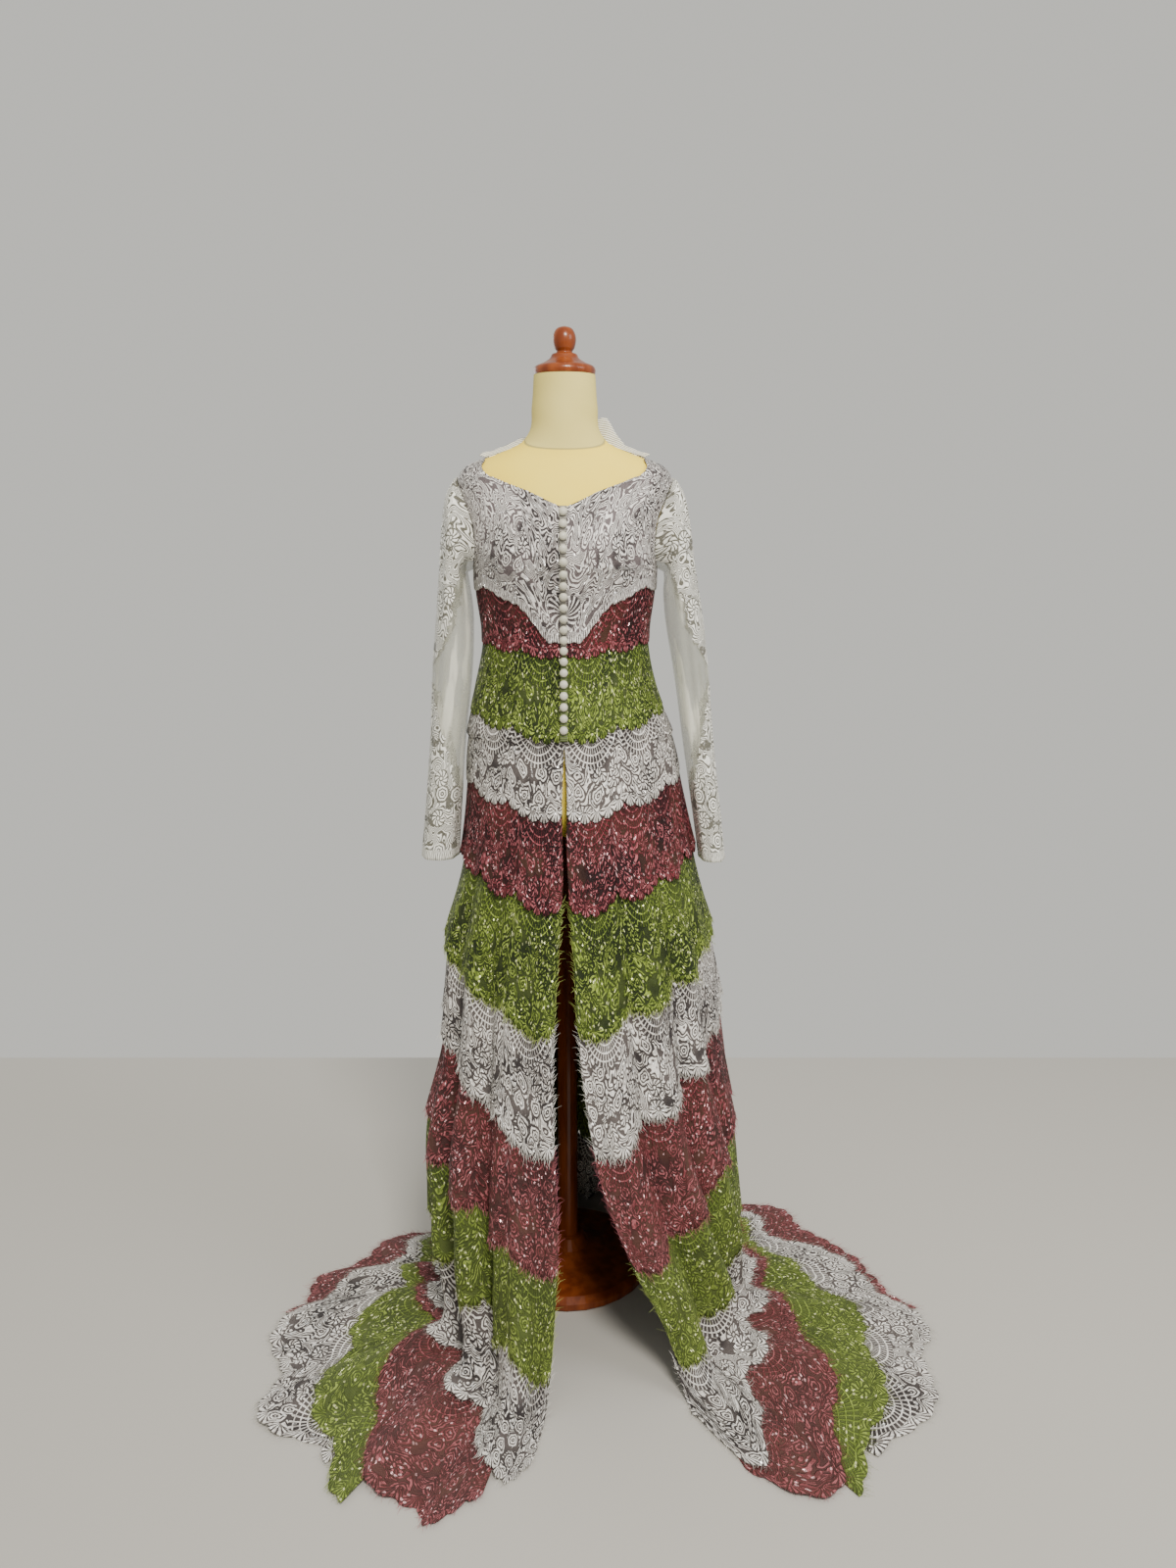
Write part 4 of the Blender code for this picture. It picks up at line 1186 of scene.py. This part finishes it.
# %% Sleeve sections
# x and z on the outer arm, x and z on the inner arm, y, half depth
RIGHT_SLEEVE = (
    (-0.1780, 1.4060, -0.1600, 1.2620, 0.000, 0.058),
    (-0.1905, 1.3800, -0.1600, 1.2480, 0.000, 0.060),
    (-0.1980, 1.3300, -0.1560, 1.2320, 0.000, 0.058),
    (-0.2040, 1.2650, -0.1530, 1.2100, 0.000, 0.056),
    (-0.2100, 1.1900, -0.1520, 1.1700, -0.002, 0.054),
    (-0.2180, 1.1000, -0.1560, 1.0950, -0.006, 0.050),
    (-0.2240, 0.9900, -0.1680, 0.9880, -0.012, 0.046),
    (-0.2350, 0.8700, -0.1770, 0.8700, -0.018, 0.044),
    (-0.2440, 0.7920, -0.1820, 0.7920, -0.022, 0.044),
)
LEFT_SLEEVE = (
    (0.1800, 1.4060, 0.1600, 1.2620, 0.000, 0.058),
    (0.1930, 1.3800, 0.1610, 1.2480, 0.000, 0.060),
    (0.2030, 1.3300, 0.1600, 1.2320, 0.000, 0.058),
    (0.2120, 1.2650, 0.1610, 1.2100, 0.000, 0.056),
    (0.2240, 1.1900, 0.1660, 1.1700, -0.002, 0.054),
    (0.2360, 1.0900, 0.1810, 1.0850, -0.006, 0.050),
    (0.2460, 0.9800, 0.1960, 0.9780, -0.012, 0.046),
    (0.2600, 0.8650, 0.2130, 0.8650, -0.018, 0.044),
    (0.2690, 0.7880, 0.2240, 0.7880, -0.022, 0.044),
)
# height on the outer arm, half width of the sewn-on lace as an angle round the sleeve
APPLIQUE = (
    (0.780, 3.6),
    (0.880, 3.3),
    (0.930, 2.2),
    (0.975, 1.7),
    (1.010, 1.3),
    (1.050, 0.9),
    (1.075, 0.3),
    (1.090, -0.3),
    (1.100, -0.3),
    (1.115, 0.3),
    (1.130, 0.8),
    (1.160, 1.3),
    (1.190, 1.5),
    (1.240, 1.75),
    (1.270, 2.2),
    (1.300, 2.9),
    (1.330, 3.3),
    (1.420, 3.4),
)
print("sleeve sections", len(RIGHT_SLEEVE))

# %% Net for the sleeves
CREASES = (46.0, 7.0, 1.0)     # creases a metre round the arm and along it
RAGGED = 0.022                 # metres that the edge of the sewn-on lace wanders


def sheer_net():
    """A net that lets the light through, soft folds painted on it as light and shade and as thicker
    net, and lace where it is sewn on, whose sequins have a painted glint.
    """
    paint = Paint("white_net")
    place, cord_height = corded(paint, 26.0, windows=0.66, flowered=0.40)
    inside = paint.node("ShaderNodeAttribute", {"attribute_name": "applique"}, out=2)
    edge = paint.noise(place, 90.0, 2.0) - 0.5
    sewn = paint.step(inside + edge * RAGGED, -0.001, 0.001)
    # painted fold shade: a stretched noise makes the net paler and thicker on its crests and darker
    # in its troughs, standing in for the light on soft folds
    painted_fold_noise = paint.noise(paint.vector("MULTIPLY", place, CREASES), 1.0, 2.0)
    folds = paint.step(painted_fold_noise, 0.50, 0.66)
    lit = paint.step(cord_height, 0.2, 0.55)
    lace_colour = paint.mix(lit, (0.17, 0.16, 0.12), (1.0, 0.99, 0.90))
    net_colour = paint.mix(folds, (0.50, 0.50, 0.40), (0.92, 0.91, 0.78))
    colour = paint.mix(sewn, net_colour, lace_colour)
    # painted glint: the sequins of the sewn-on lace go part way to near white
    net_sequins_with_painted_glint = chips(paint, place, 300.0, 0.14, 1.2)[1] * sewn
    height = cord_height * sewn + 0.15 * paint.noise(place, 700.0, 1.0)
    alpha = (0.22 + 0.20 * folds) * (1.0 - sewn) + sewn * (0.50 + 0.49 * lit)
    paint.set(base_color=paint.mix(net_sequins_with_painted_glint * 0.6, colour, (1.0, 0.99, 0.95)), alpha=alpha,
              roughness=0.60 - 0.35 * net_sequins_with_painted_glint, normal=paint.bump(height, 0.9, 0.0016))
    return paint


white_net = sheer_net()
print("net:", white_net.material.name)

# %% Making the sleeves
SLEEVE_COLUMNS, SLEEVE_ROWS = 80, 110
ARM_RADIUS = 0.035
SLEEVE_LOBES = 4
NO_FAN = 1.0             # metres down to the top of the cloth, so that no fan reaches it


def looseness(turn, down):
    """How much wider than its section the sleeve is, with folds that wind down the arm."""
    folds = 0.030 * np.sin(5.0 * turn + 3.0 * down) + 0.022 * np.sin(9.0 * turn - 7.0 * down)
    return 1.0 + folds * np.clip((down - 0.15) / 0.3, 0.0, 1.0)


def sewn_on(across, down, points):
    """Metres inside the edge of the sewn-on lace."""
    turn = 2.0 * math.pi * np.abs(across - 0.5)
    return (straight(APPLIQUE, points[:, 2]) - turn) * ARM_RADIUS


def net_sleeve(name, side_share, sections):
    """A tube from the armhole through the sections, sewn shut along the inner arm."""
    outward = -1.0 if side_share < 0.5 else 1.0
    table = [(number, *section) for number, section in enumerate(sections, start=1)]

    def place(across, down):
        turn = 2.0 * math.pi * (across - 0.5)
        height = ARMHOLE["height"] + ARMHOLE["half_height"] * np.cos(turn)
        off = ARMHOLE["half_share"] * np.sin(turn)
        start = laid(side_share + outward * off, height, CLOTH + 2.0 * GAP)
        at = down * len(sections)
        outer_x, outer_z, inner_x, inner_z, y, deep = smooth(table, np.maximum(at, 1.0))
        centre = np.stack([(outer_x + inner_x) / 2, y, (outer_z + inner_z) / 2], axis=-1)
        lean = np.stack([outer_x, y, outer_z], axis=-1) - centre
        ahead = np.zeros_like(centre)
        ahead[:, 1] = -deep
        loose = looseness(turn, down)
        sideways, forwards = (np.cos(turn) * loose)[:, None], (np.sin(turn) * loose)[:, None]
        ring = centre + sideways * lean + forwards * ahead
        blend = np.clip(at, 0.0, 1.0)[:, None]
        return start * (1.0 - blend) + ring * blend

    made = cloth("net_" + name, SLEEVE_COLUMNS, SLEEVE_ROWS, place, white_net, SLEEVE_CLOTH,
                 lobes=SLEEVE_LOBES, fan_above=NO_FAN, ring=True, mark=("applique", sewn_on))
    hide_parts(name)
    sheets.append((name, *made))


net_sleeve("sleeve_right", 0.25, RIGHT_SLEEVE)
net_sleeve("sleeve_left", 0.75, LEFT_SLEEVE)

# %% [markdown]
# ## Collar and placket
#
# The collar is a narrow strip of cream cloth with fine cords along it. It lies down on the
# wearer's right shoulder and stands up at the back and on the left. The placket is the strip that
# carries the buttons. Beside the rose and green tiers it has the colour of the lace there; up the
# bodice it is a mid grey, a painted shadow beside the buttons.

# %% Collar
# share, height over the neckline, lean outwards in degrees
COLLAR = (
    (0.250, 0.010, 74.0),
    (0.300, 0.013, 66.0),
    (0.345, 0.016, 50.0),
    (0.400, 0.024, 26.0),
    (0.500, 0.037, 10.0),
    (0.605, 0.041, 8.0),
    (0.645, 0.040, 15.0),
    (0.670, 0.023, 42.0),
    (0.696, 0.014, 62.0),
    (0.720, 0.012, 70.0),
    (0.750, 0.011, 72.0),
)
COLLAR_START, COLLAR_END = 0.252, 0.748


def collar_place(across, down):
    share = COLLAR_START + (COLLAR_END - COLLAR_START) * across
    base = laid(share, neckline(share) - 0.001, CLOTH + 3.0 * GAP)
    height, lean = smooth(COLLAR, share)
    lean = np.radians(lean)
    out = base * np.array([1.0, 1.0, 0.0])
    out /= np.linalg.norm(out, axis=-1, keepdims=True)
    up = np.zeros_like(out)
    up[:, 2] = 1.0
    direction = out * np.sin(lean)[:, None] + up * np.cos(lean)[:, None]
    away = out * np.cos(lean)[:, None] - up * np.sin(lean)[:, None]
    rise = 1.0 - down
    crumple = 0.0012 * np.sin(90.0 * share) * rise + 0.0008 * np.sin(210.0 * share) * rise
    edge = 1.0 + 0.05 * np.sin(150.0 * share) * rise
    off = (SLEEVE_CLOTH + crumple)[:, None]
    return base + direction * (height * rise * edge)[:, None] + away * off


print("the collar stands up", max(row[1] for row in COLLAR), "m")

# %% Placket and the cloth of both
PLACKET_TOP, PLACKET_BOTTOM = 1.363, 1.006
PLACKET_HALF_SHARE = 0.0055
BAND_CORD_PITCH = 0.0034


def placket_place(across, down):
    level = PLACKET_TOP + (PLACKET_BOTTOM - PLACKET_TOP) * down
    share = PLACKET_HALF_SHARE * (2.0 * across - 1.0)
    return laid(share, level, HEM_LIFT + 2.0 * CLOTH + 1.5 * GAP)


def cord_band(name, plain, stripes):
    """A strip of plain cloth with fine cords along it, and painted shade between the cords. Below
    each height in stripes, it has the colour given there."""
    paint = Paint(name)
    place = paint.uv("cloth")
    cords = paint.step(paint.wave(paint.part(place, "Y"), BAND_CORD_PITCH), 0.25, 0.75)
    soft = paint.noise(place, 120.0, 3.0)
    level = paint.part(paint.on_object(), "Z") + (soft - 0.5) * 0.012
    colour = plain
    for height, below in stripes:
        colour = paint.mix(paint.step(level, height + 0.001, height - 0.001), colour, below)
    # painted shade: between the cords the colour goes most of the way to near black
    dark = paint.mix(0.7, colour, (0.12, 0.11, 0.09))
    colour = paint.mix(paint.step(cords + soft * 0.4, 0.25, 0.8), dark, colour)
    relief = paint.bump(cords + 0.4 * soft, 0.8, 0.0010)
    paint.set(base_color=colour, roughness=0.7, normal=relief)
    return paint


print("the placket is", round(PLACKET_TOP - PLACKET_BOTTOM, 3), "m long")

# %% Making the collar and the placket
collar_band = cord_band("collar_band", (0.96, 0.95, 0.84), ())
# painted shadow: up the bodice the placket is a mid grey, darker than the white lace beside it,
# standing in for the shadow beside the buttons; the stripes lower down are the tiers' own colours
placket_band = cord_band("placket_band", (0.34, 0.32, 0.28), (
    (1.150, (0.16, 0.030, 0.040)),
    (1.136, (0.11, 0.16, 0.025)),
))
for name, columns, rows, place, thick, paint in (
    ("collar", 160, 8, collar_place, SLEEVE_CLOTH, collar_band),
    ("placket", 6, 160, placket_place, CLOTH, placket_band),
):
    made = cloth("lace_" + name, columns, rows, place, paint, thick, lobes=4, fan_above=NO_FAN)
    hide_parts(name)
    sheets.append((name, *made))

# %% [markdown]
# ## Covered buttons
#
# Twenty ball buttons covered in cream satin. A sphere, flattened a little and cut flat where it
# sits, is the shape. It is made at the origin, turned to face out of the cloth, and moved to its
# place.

# %% Satin and the buttons
BUTTONS = 20
BUTTON_RADIUS = 0.0067
BUTTON_HEIGHT = 0.0080
BUTTON_SUNK = 0.38       # the ball's middle is this share of its height over its foot
BUTTON_TOP, BUTTON_BOTTOM = 1.354, 1.020

SATIN_THREADS = 900.0

satin = Paint("cream_satin")
weave = satin.noise(satin.on_object(), SATIN_THREADS, dimensions="3D")
cream = satin.mix(satin.step(weave, 0.35, 0.65), (0.50, 0.48, 0.38), (0.62, 0.60, 0.50))
satin.set(base_color=cream, roughness=0.42, normal=satin.bump(weave, 0.25, 0.0004))


def covered_button(number):
    down = number / (BUTTONS - 1)
    height = np.array(BUTTON_TOP + (BUTTON_BOTTOM - BUTTON_TOP) * down)
    lift = HEM_LIFT + 2.0 * CLOTH + 2.5 * GAP
    foot = laid(np.array(0.0), height, np.array(lift))
    out = gown_normal(np.array(0.0), height)
    bm = bmesh.new()
    bmesh.ops.create_uvsphere(bm, u_segments=20, v_segments=12, radius=1.0)
    dome = BUTTON_HEIGHT * (1.0 - BUTTON_SUNK)
    bmesh.ops.scale(bm, vec=(BUTTON_RADIUS, BUTTON_RADIUS, dome), verts=bm.verts)
    bmesh.ops.translate(bm, vec=(0, 0, BUTTON_HEIGHT * BUTTON_SUNK), verts=bm.verts)
    cut = bmesh.ops.bisect_plane(bm, geom=bm.verts[:] + bm.edges[:] + bm.faces[:], dist=1e-6,
                                 plane_co=(0, 0, 0), plane_no=(0, 0, -1), clear_outer=True)
    rim = [e for e in cut["geom_cut"] if isinstance(e, bmesh.types.BMEdge)]
    bmesh.ops.contextual_create(bm, geom=rim)
    turn = Vector(out).to_track_quat("Z", "Y").to_matrix().to_4x4()
    bmesh.ops.transform(bm, matrix=Matrix.Translation(foot) @ turn, verts=bm.verts)
    bmesh.ops.recalc_face_normals(bm, faces=bm.faces)
    obj = shown(f"satin_button_{number + 1:02d}", bm, satin, crisp=50.0)
    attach(obj, "root")
    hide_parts(f"button_{number + 1:02d}")


for number in range(BUTTONS):
    covered_button(number)
print("buttons:", BUTTONS)

# %% [markdown]
# ## The dress form
#
# The form is a padded body covered in cream jersey, with a seam round the foot of the neck and a
# darker neck. Its cap, pole and base are turned wood with a glossy varnish. A turned piece is
# spun from a profile, as on a lathe.

# %% Jersey
NECK_SEAM = 1.452        # height of the neck's seam in front
SEAM_DEPTH = 0.056       # how far in front of the neck's middle that is
SEAM_RISE = 0.375        # how much the seam rises for each metre back

jersey = Paint("cream_jersey")
on_form = jersey.on_object()
height_up, depth_in = jersey.part(on_form, "Z"), jersey.part(on_form, "Y")
seam_at = height_up - NECK_SEAM - SEAM_RISE * (depth_in + SEAM_DEPTH)
neck = jersey.step(seam_at, -0.0006, 0.0006)
knit = jersey.noise(on_form, 1500.0, 1.0, dimensions="3D")
soft = jersey.noise(on_form, 16.0, dimensions="3D")
torso_colour = jersey.mix(soft, (1.0, 0.74, 0.08), (1.0, 0.79, 0.13))
neck_colour = jersey.mix(soft, (0.66, 0.56, 0.17), (0.76, 0.65, 0.23))
seam = jersey.step(seam_at.math("ABSOLUTE"), 0.0016, 0.0004)
whole = jersey.mix(seam * 0.55, jersey.mix(neck, torso_colour, neck_colour), (0.22, 0.19, 0.11))
jersey.set(base_color=whole, roughness=0.85,
           normal=jersey.bump(knit * 0.2 + (1.0 - seam), 0.5, 0.0009))
jersey.shader.inputs["Specular IOR Level"].default_value = 0.15
print("jersey ready")

# %% Body of the form


def form_skin(name, columns=96, rows=120):
    """The form's body: a grid bent round through the form's rings, sewn shut and closed."""
    bm = bmesh.new()
    bmesh.ops.create_grid(bm, x_segments=columns, y_segments=rows, size=0.5)
    top, bottom = FORM_RINGS[0][0], FORM_RINGS[-1][0]
    for vert in bm.verts:
        angle = 2.0 * math.pi * (vert.co.x + 0.5)
        height = bottom + (top - bottom) * (vert.co.y + 0.5)
        half_width, front, back = smooth(FORM_RINGS, np.array(height))
        swell = float(bust(height, math.degrees(angle)) / front)
        depth = float(front if math.cos(angle) > 0 else back)
        vert.co = (
            -float(half_width) * math.sin(angle) * (1.0 + BUST_WIDENING * swell),
            -depth * math.cos(angle) * (1.0 + swell),
            height,
        )
    bmesh.ops.remove_doubles(bm, verts=bm.verts, dist=WELD)
    bmesh.ops.holes_fill(bm, edges=bm.edges, sides=columns + 1)
    bmesh.ops.recalc_face_normals(bm, faces=bm.faces)
    obj = shown(name, bm, jersey, crisp=50.0)
    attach(obj, "root")
    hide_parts("form_torso")
    print(name, "faces", len(obj.data.polygons))


form_skin("jersey_body")

# %% Varnished wood
GRAIN_STRETCH = (60.0, 60.0, 9.0)

wood = Paint("varnished_wood")
stretch = {"Vector": wood.on_object(), "Scale": GRAIN_STRETCH}
drawn_out = wood.node("ShaderNodeMapping", None, stretch)
grain = wood.noise(drawn_out, 1.0, 6.0, dimensions="3D")
pores = wood.noise(drawn_out, 9.0, 3.0, dimensions="3D")
brown = wood.mix(wood.step(grain, 0.35, 0.68), (0.16, 0.032, 0.008), (0.27, 0.064, 0.014))
brown = wood.mix(wood.step(pores, 0.60, 0.72) * 0.30, brown, (0.16, 0.030, 0.010))
wood.set(base_color=brown, roughness=0.30, normal=wood.bump(pores, 0.08, 0.0006))
wood.shader.inputs["Coat Weight"].default_value = 0.25
wood.shader.inputs["Coat Roughness"].default_value = 0.14
wood.shader.inputs["Specular IOR Level"].default_value = 0.25
for name in ("form_pole", "form_base"):
    nodes[name].data.materials.clear()
    nodes[name].data.materials.append(wood.material)
print("wood ready")

# %% Turned cap
NECK_TOP = FORM_RINGS[0][0]
CAP_CURVE_POINTS, CAP_STEPS = 61, 64
# radius, height over the neck
CAP_PROFILE = (
    (0.0478, 0.0000),
    (0.0488, 0.0030),
    (0.0488, 0.0075),
    (0.0455, 0.0125),
    (0.0340, 0.0175),
    (0.0235, 0.0240),
    (0.0195, 0.0305),
    (0.0125, 0.0335),
    (0.0160, 0.0400),
    (0.0183, 0.0505),
    (0.0170, 0.0605),
    (0.0115, 0.0690),
    (0.0000, 0.0728),
)


def turned_cap(name):
    """The cap and its knob, spun from a smooth curve through the profile."""
    bm = bmesh.new()
    at = np.linspace(0.0, len(CAP_PROFILE) - 1.0, CAP_CURVE_POINTS)
    table = [(number, *point) for number, point in enumerate(CAP_PROFILE)]
    fine_radius, fine_height = smooth(table, at)
    fine_radius[-1] = 0.0
    points = [bm.verts.new((0.0, 0.0, NECK_TOP + GAP))]
    for radius, height in zip(fine_radius, fine_height):
        points.append(bm.verts.new((max(radius, 0.0), 0.0, NECK_TOP + GAP + height)))
    for a, b in zip(points, points[1:]):
        bm.edges.new((a, b))
    bmesh.ops.spin(bm, geom=bm.verts[:] + bm.edges[:], cent=(0, 0, 0), axis=(0, 0, 1),
                   angle=2.0 * math.pi, steps=CAP_STEPS, use_merge=True)
    bmesh.ops.remove_doubles(bm, verts=bm.verts, dist=WELD)
    bmesh.ops.recalc_face_normals(bm, faces=bm.faces)
    obj = shown(name, bm, wood, crisp=60.0)
    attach(obj, "root")
    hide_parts("form_cap")
    print(name, "faces", len(obj.data.polygons))


turned_cap("turned_cap")

# %% [markdown]
# ## Eyelash fringe
#
# Along the hems of the lower tiers and down the open front, the threads of the lace are left
# loose, as eyelashes. One grid gives them all: every second column of it is deleted, and each
# column left is one thread, drawn out to a tip.

# %% Threads of the fringe
LASH = 0.0115            # metres, a common length
THREAD_WIDTHS = (0.00070, 0.00060, 0.00020)    # metres, at the root, half way and at the tip
LOWEST = 0.0006          # metres over the floor
VIEW_LINE = np.array([0.3, 1.0, 0.2])          # about the line of view, which a thread lies across


def unit(vectors):
    return vectors / np.linalg.norm(vectors, axis=-1, keepdims=True)


def fringe(name, roots, outwards, alongs, paint):
    """Threads at roots, pointing outwards with some scatter. The three arrays have a row each."""
    count = len(roots)
    strips = 2 * count - 1
    chance = np.random.default_rng(len(name) * 101 + count)
    bm = bmesh.new()
    bmesh.ops.create_grid(bm, x_segments=strips, y_segments=2, size=0.5)
    odd = [f for f in bm.faces if int((f.calc_center_median().x + 0.5) * strips) % 2]
    bmesh.ops.delete(bm, geom=odd, context="FACES")
    lean = outwards + alongs * chance.normal(0.0, 0.45, (count, 1))
    lean = unit(lean + chance.normal(0.0, 0.18, (count, 3)))
    bend = chance.normal(0.0, 0.25, (count, 3))
    reach = LASH * chance.uniform(0.45, 1.15, count)
    wide = unit(np.cross(lean, VIEW_LINE))
    for vert in bm.verts:
        thread, side = divmod(int(round((vert.co.x + 0.5) * strips)), 2)
        up = vert.co.y + 0.5
        thick = THREAD_WIDTHS[int(round(up * 2))]
        point = roots[thread] + (lean[thread] + bend[thread] * up) * reach[thread] * up
        vert.co = Vector(point + wide[thread] * (side - 0.5) * thick)
        vert.co.z = max(vert.co.z, LOWEST)
    obj = shown(name, bm, paint)
    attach(obj, "root")
    print(name, "threads", count)
    return obj


def thread_paint(name, colour):
    paint = Paint(name)
    shade = paint.noise(paint.on_object(), 300.0, 1.0, dimensions="3D")
    paint.set(base_color=paint.mix(shade, tuple(0.55 * c for c in colour), colour), roughness=0.5)
    return paint


THREADS = {
    "white": thread_paint("white_thread", (0.90, 0.88, 0.82)),
    "rose": thread_paint("rose_thread", (0.55, 0.16, 0.20)),
    "green": thread_paint("green_thread", (0.42, 0.52, 0.12)),
}
print("threads:", list(THREADS))

# %% Where the threads are
FRINGED = ("green_2", "white_3", "rose_3", "green_3", "white_4", "rose_4", "green_4", "white_5",
           "rose_5")
HEM_PITCH, FRONT_PITCH = 0.0026, 0.004     # metres from one thread to the next
fringes = {}


def evenly(line, pitch, *others):
    """Points at even steps along a line, and what the other arrays hold at those points."""
    steps = np.linalg.norm(np.diff(line, axis=0), axis=-1)
    length = np.concatenate([[0.0], np.cumsum(steps)])
    at = np.arange(0.0, length[-1], pitch)
    return [np.stack([np.interp(at, length, source[:, k]) for k in range(3)], axis=-1)
            for source in (line, *others)]


for name in FRINGED:
    colour = name.split("_")[0]
    spot = tier_pieces[name][1]
    edge = spot[-1]
    runs = [evenly(edge, HEM_PITCH, edge - spot[-2], np.gradient(edge, axis=0))]
    hangs_open = spot[0, 0, 2] > 0.02 and abs(edge[0, 0] - edge[-1, 0]) < 0.5
    if hangs_open:
        for side, nearby in ((0, 1), (-1, -2)):
            front = spot[:, side]
            away = front - spot[:, nearby]
            runs.append(evenly(front, FRONT_PITCH, away, np.gradient(front, axis=0)))
    roots, outs, alongs = (np.concatenate(parts) for parts in zip(*runs))
    fringes[name] = fringe("fringe_" + name, roots, unit(outs), unit(alongs), THREADS[colour])
    colour + "_lace"

# %% [markdown]
# ## What each sheet of cloth measures flat
#
# A cutter needs the flat size of each piece. The width is that of the hem and the length the
# longest drop. The area is that of the cloth as it lies here, since lace isn't stretched. Some
# floor tiers are long at one corner only, and their length is worked out from the area.

# %% Flat sizes
# the area as a share of width times length: the most it may be, the least, and the share that
# a sheet gets whose one long corner makes it less than that
FULLEST, EMPTIEST, USUAL = 0.98, 0.31, 0.5


def declare(name, size, extra=()):
    """Says what the sheet measures, with a length that suits its area."""
    width, drop, area = size
    length = max(drop, area / width / FULLEST)
    if area < EMPTIEST * width * length:
        length = area / width / USUAL
    round(min(area, width * length), 5)
    print(name, "flat", round(width, 3), "x", round(length, 3), "m, area", round(area, 4))


lying = [row[0] for row in FLOOR_TIERS]
for name, (obj, spot, size) in tier_pieces.items():
    held = "laid" if name in lying else "hung"
    declare(name, size, [fringes[name]] if name in fringes else [])
for name, obj, spot, size in sheets:
    declare(name, size)
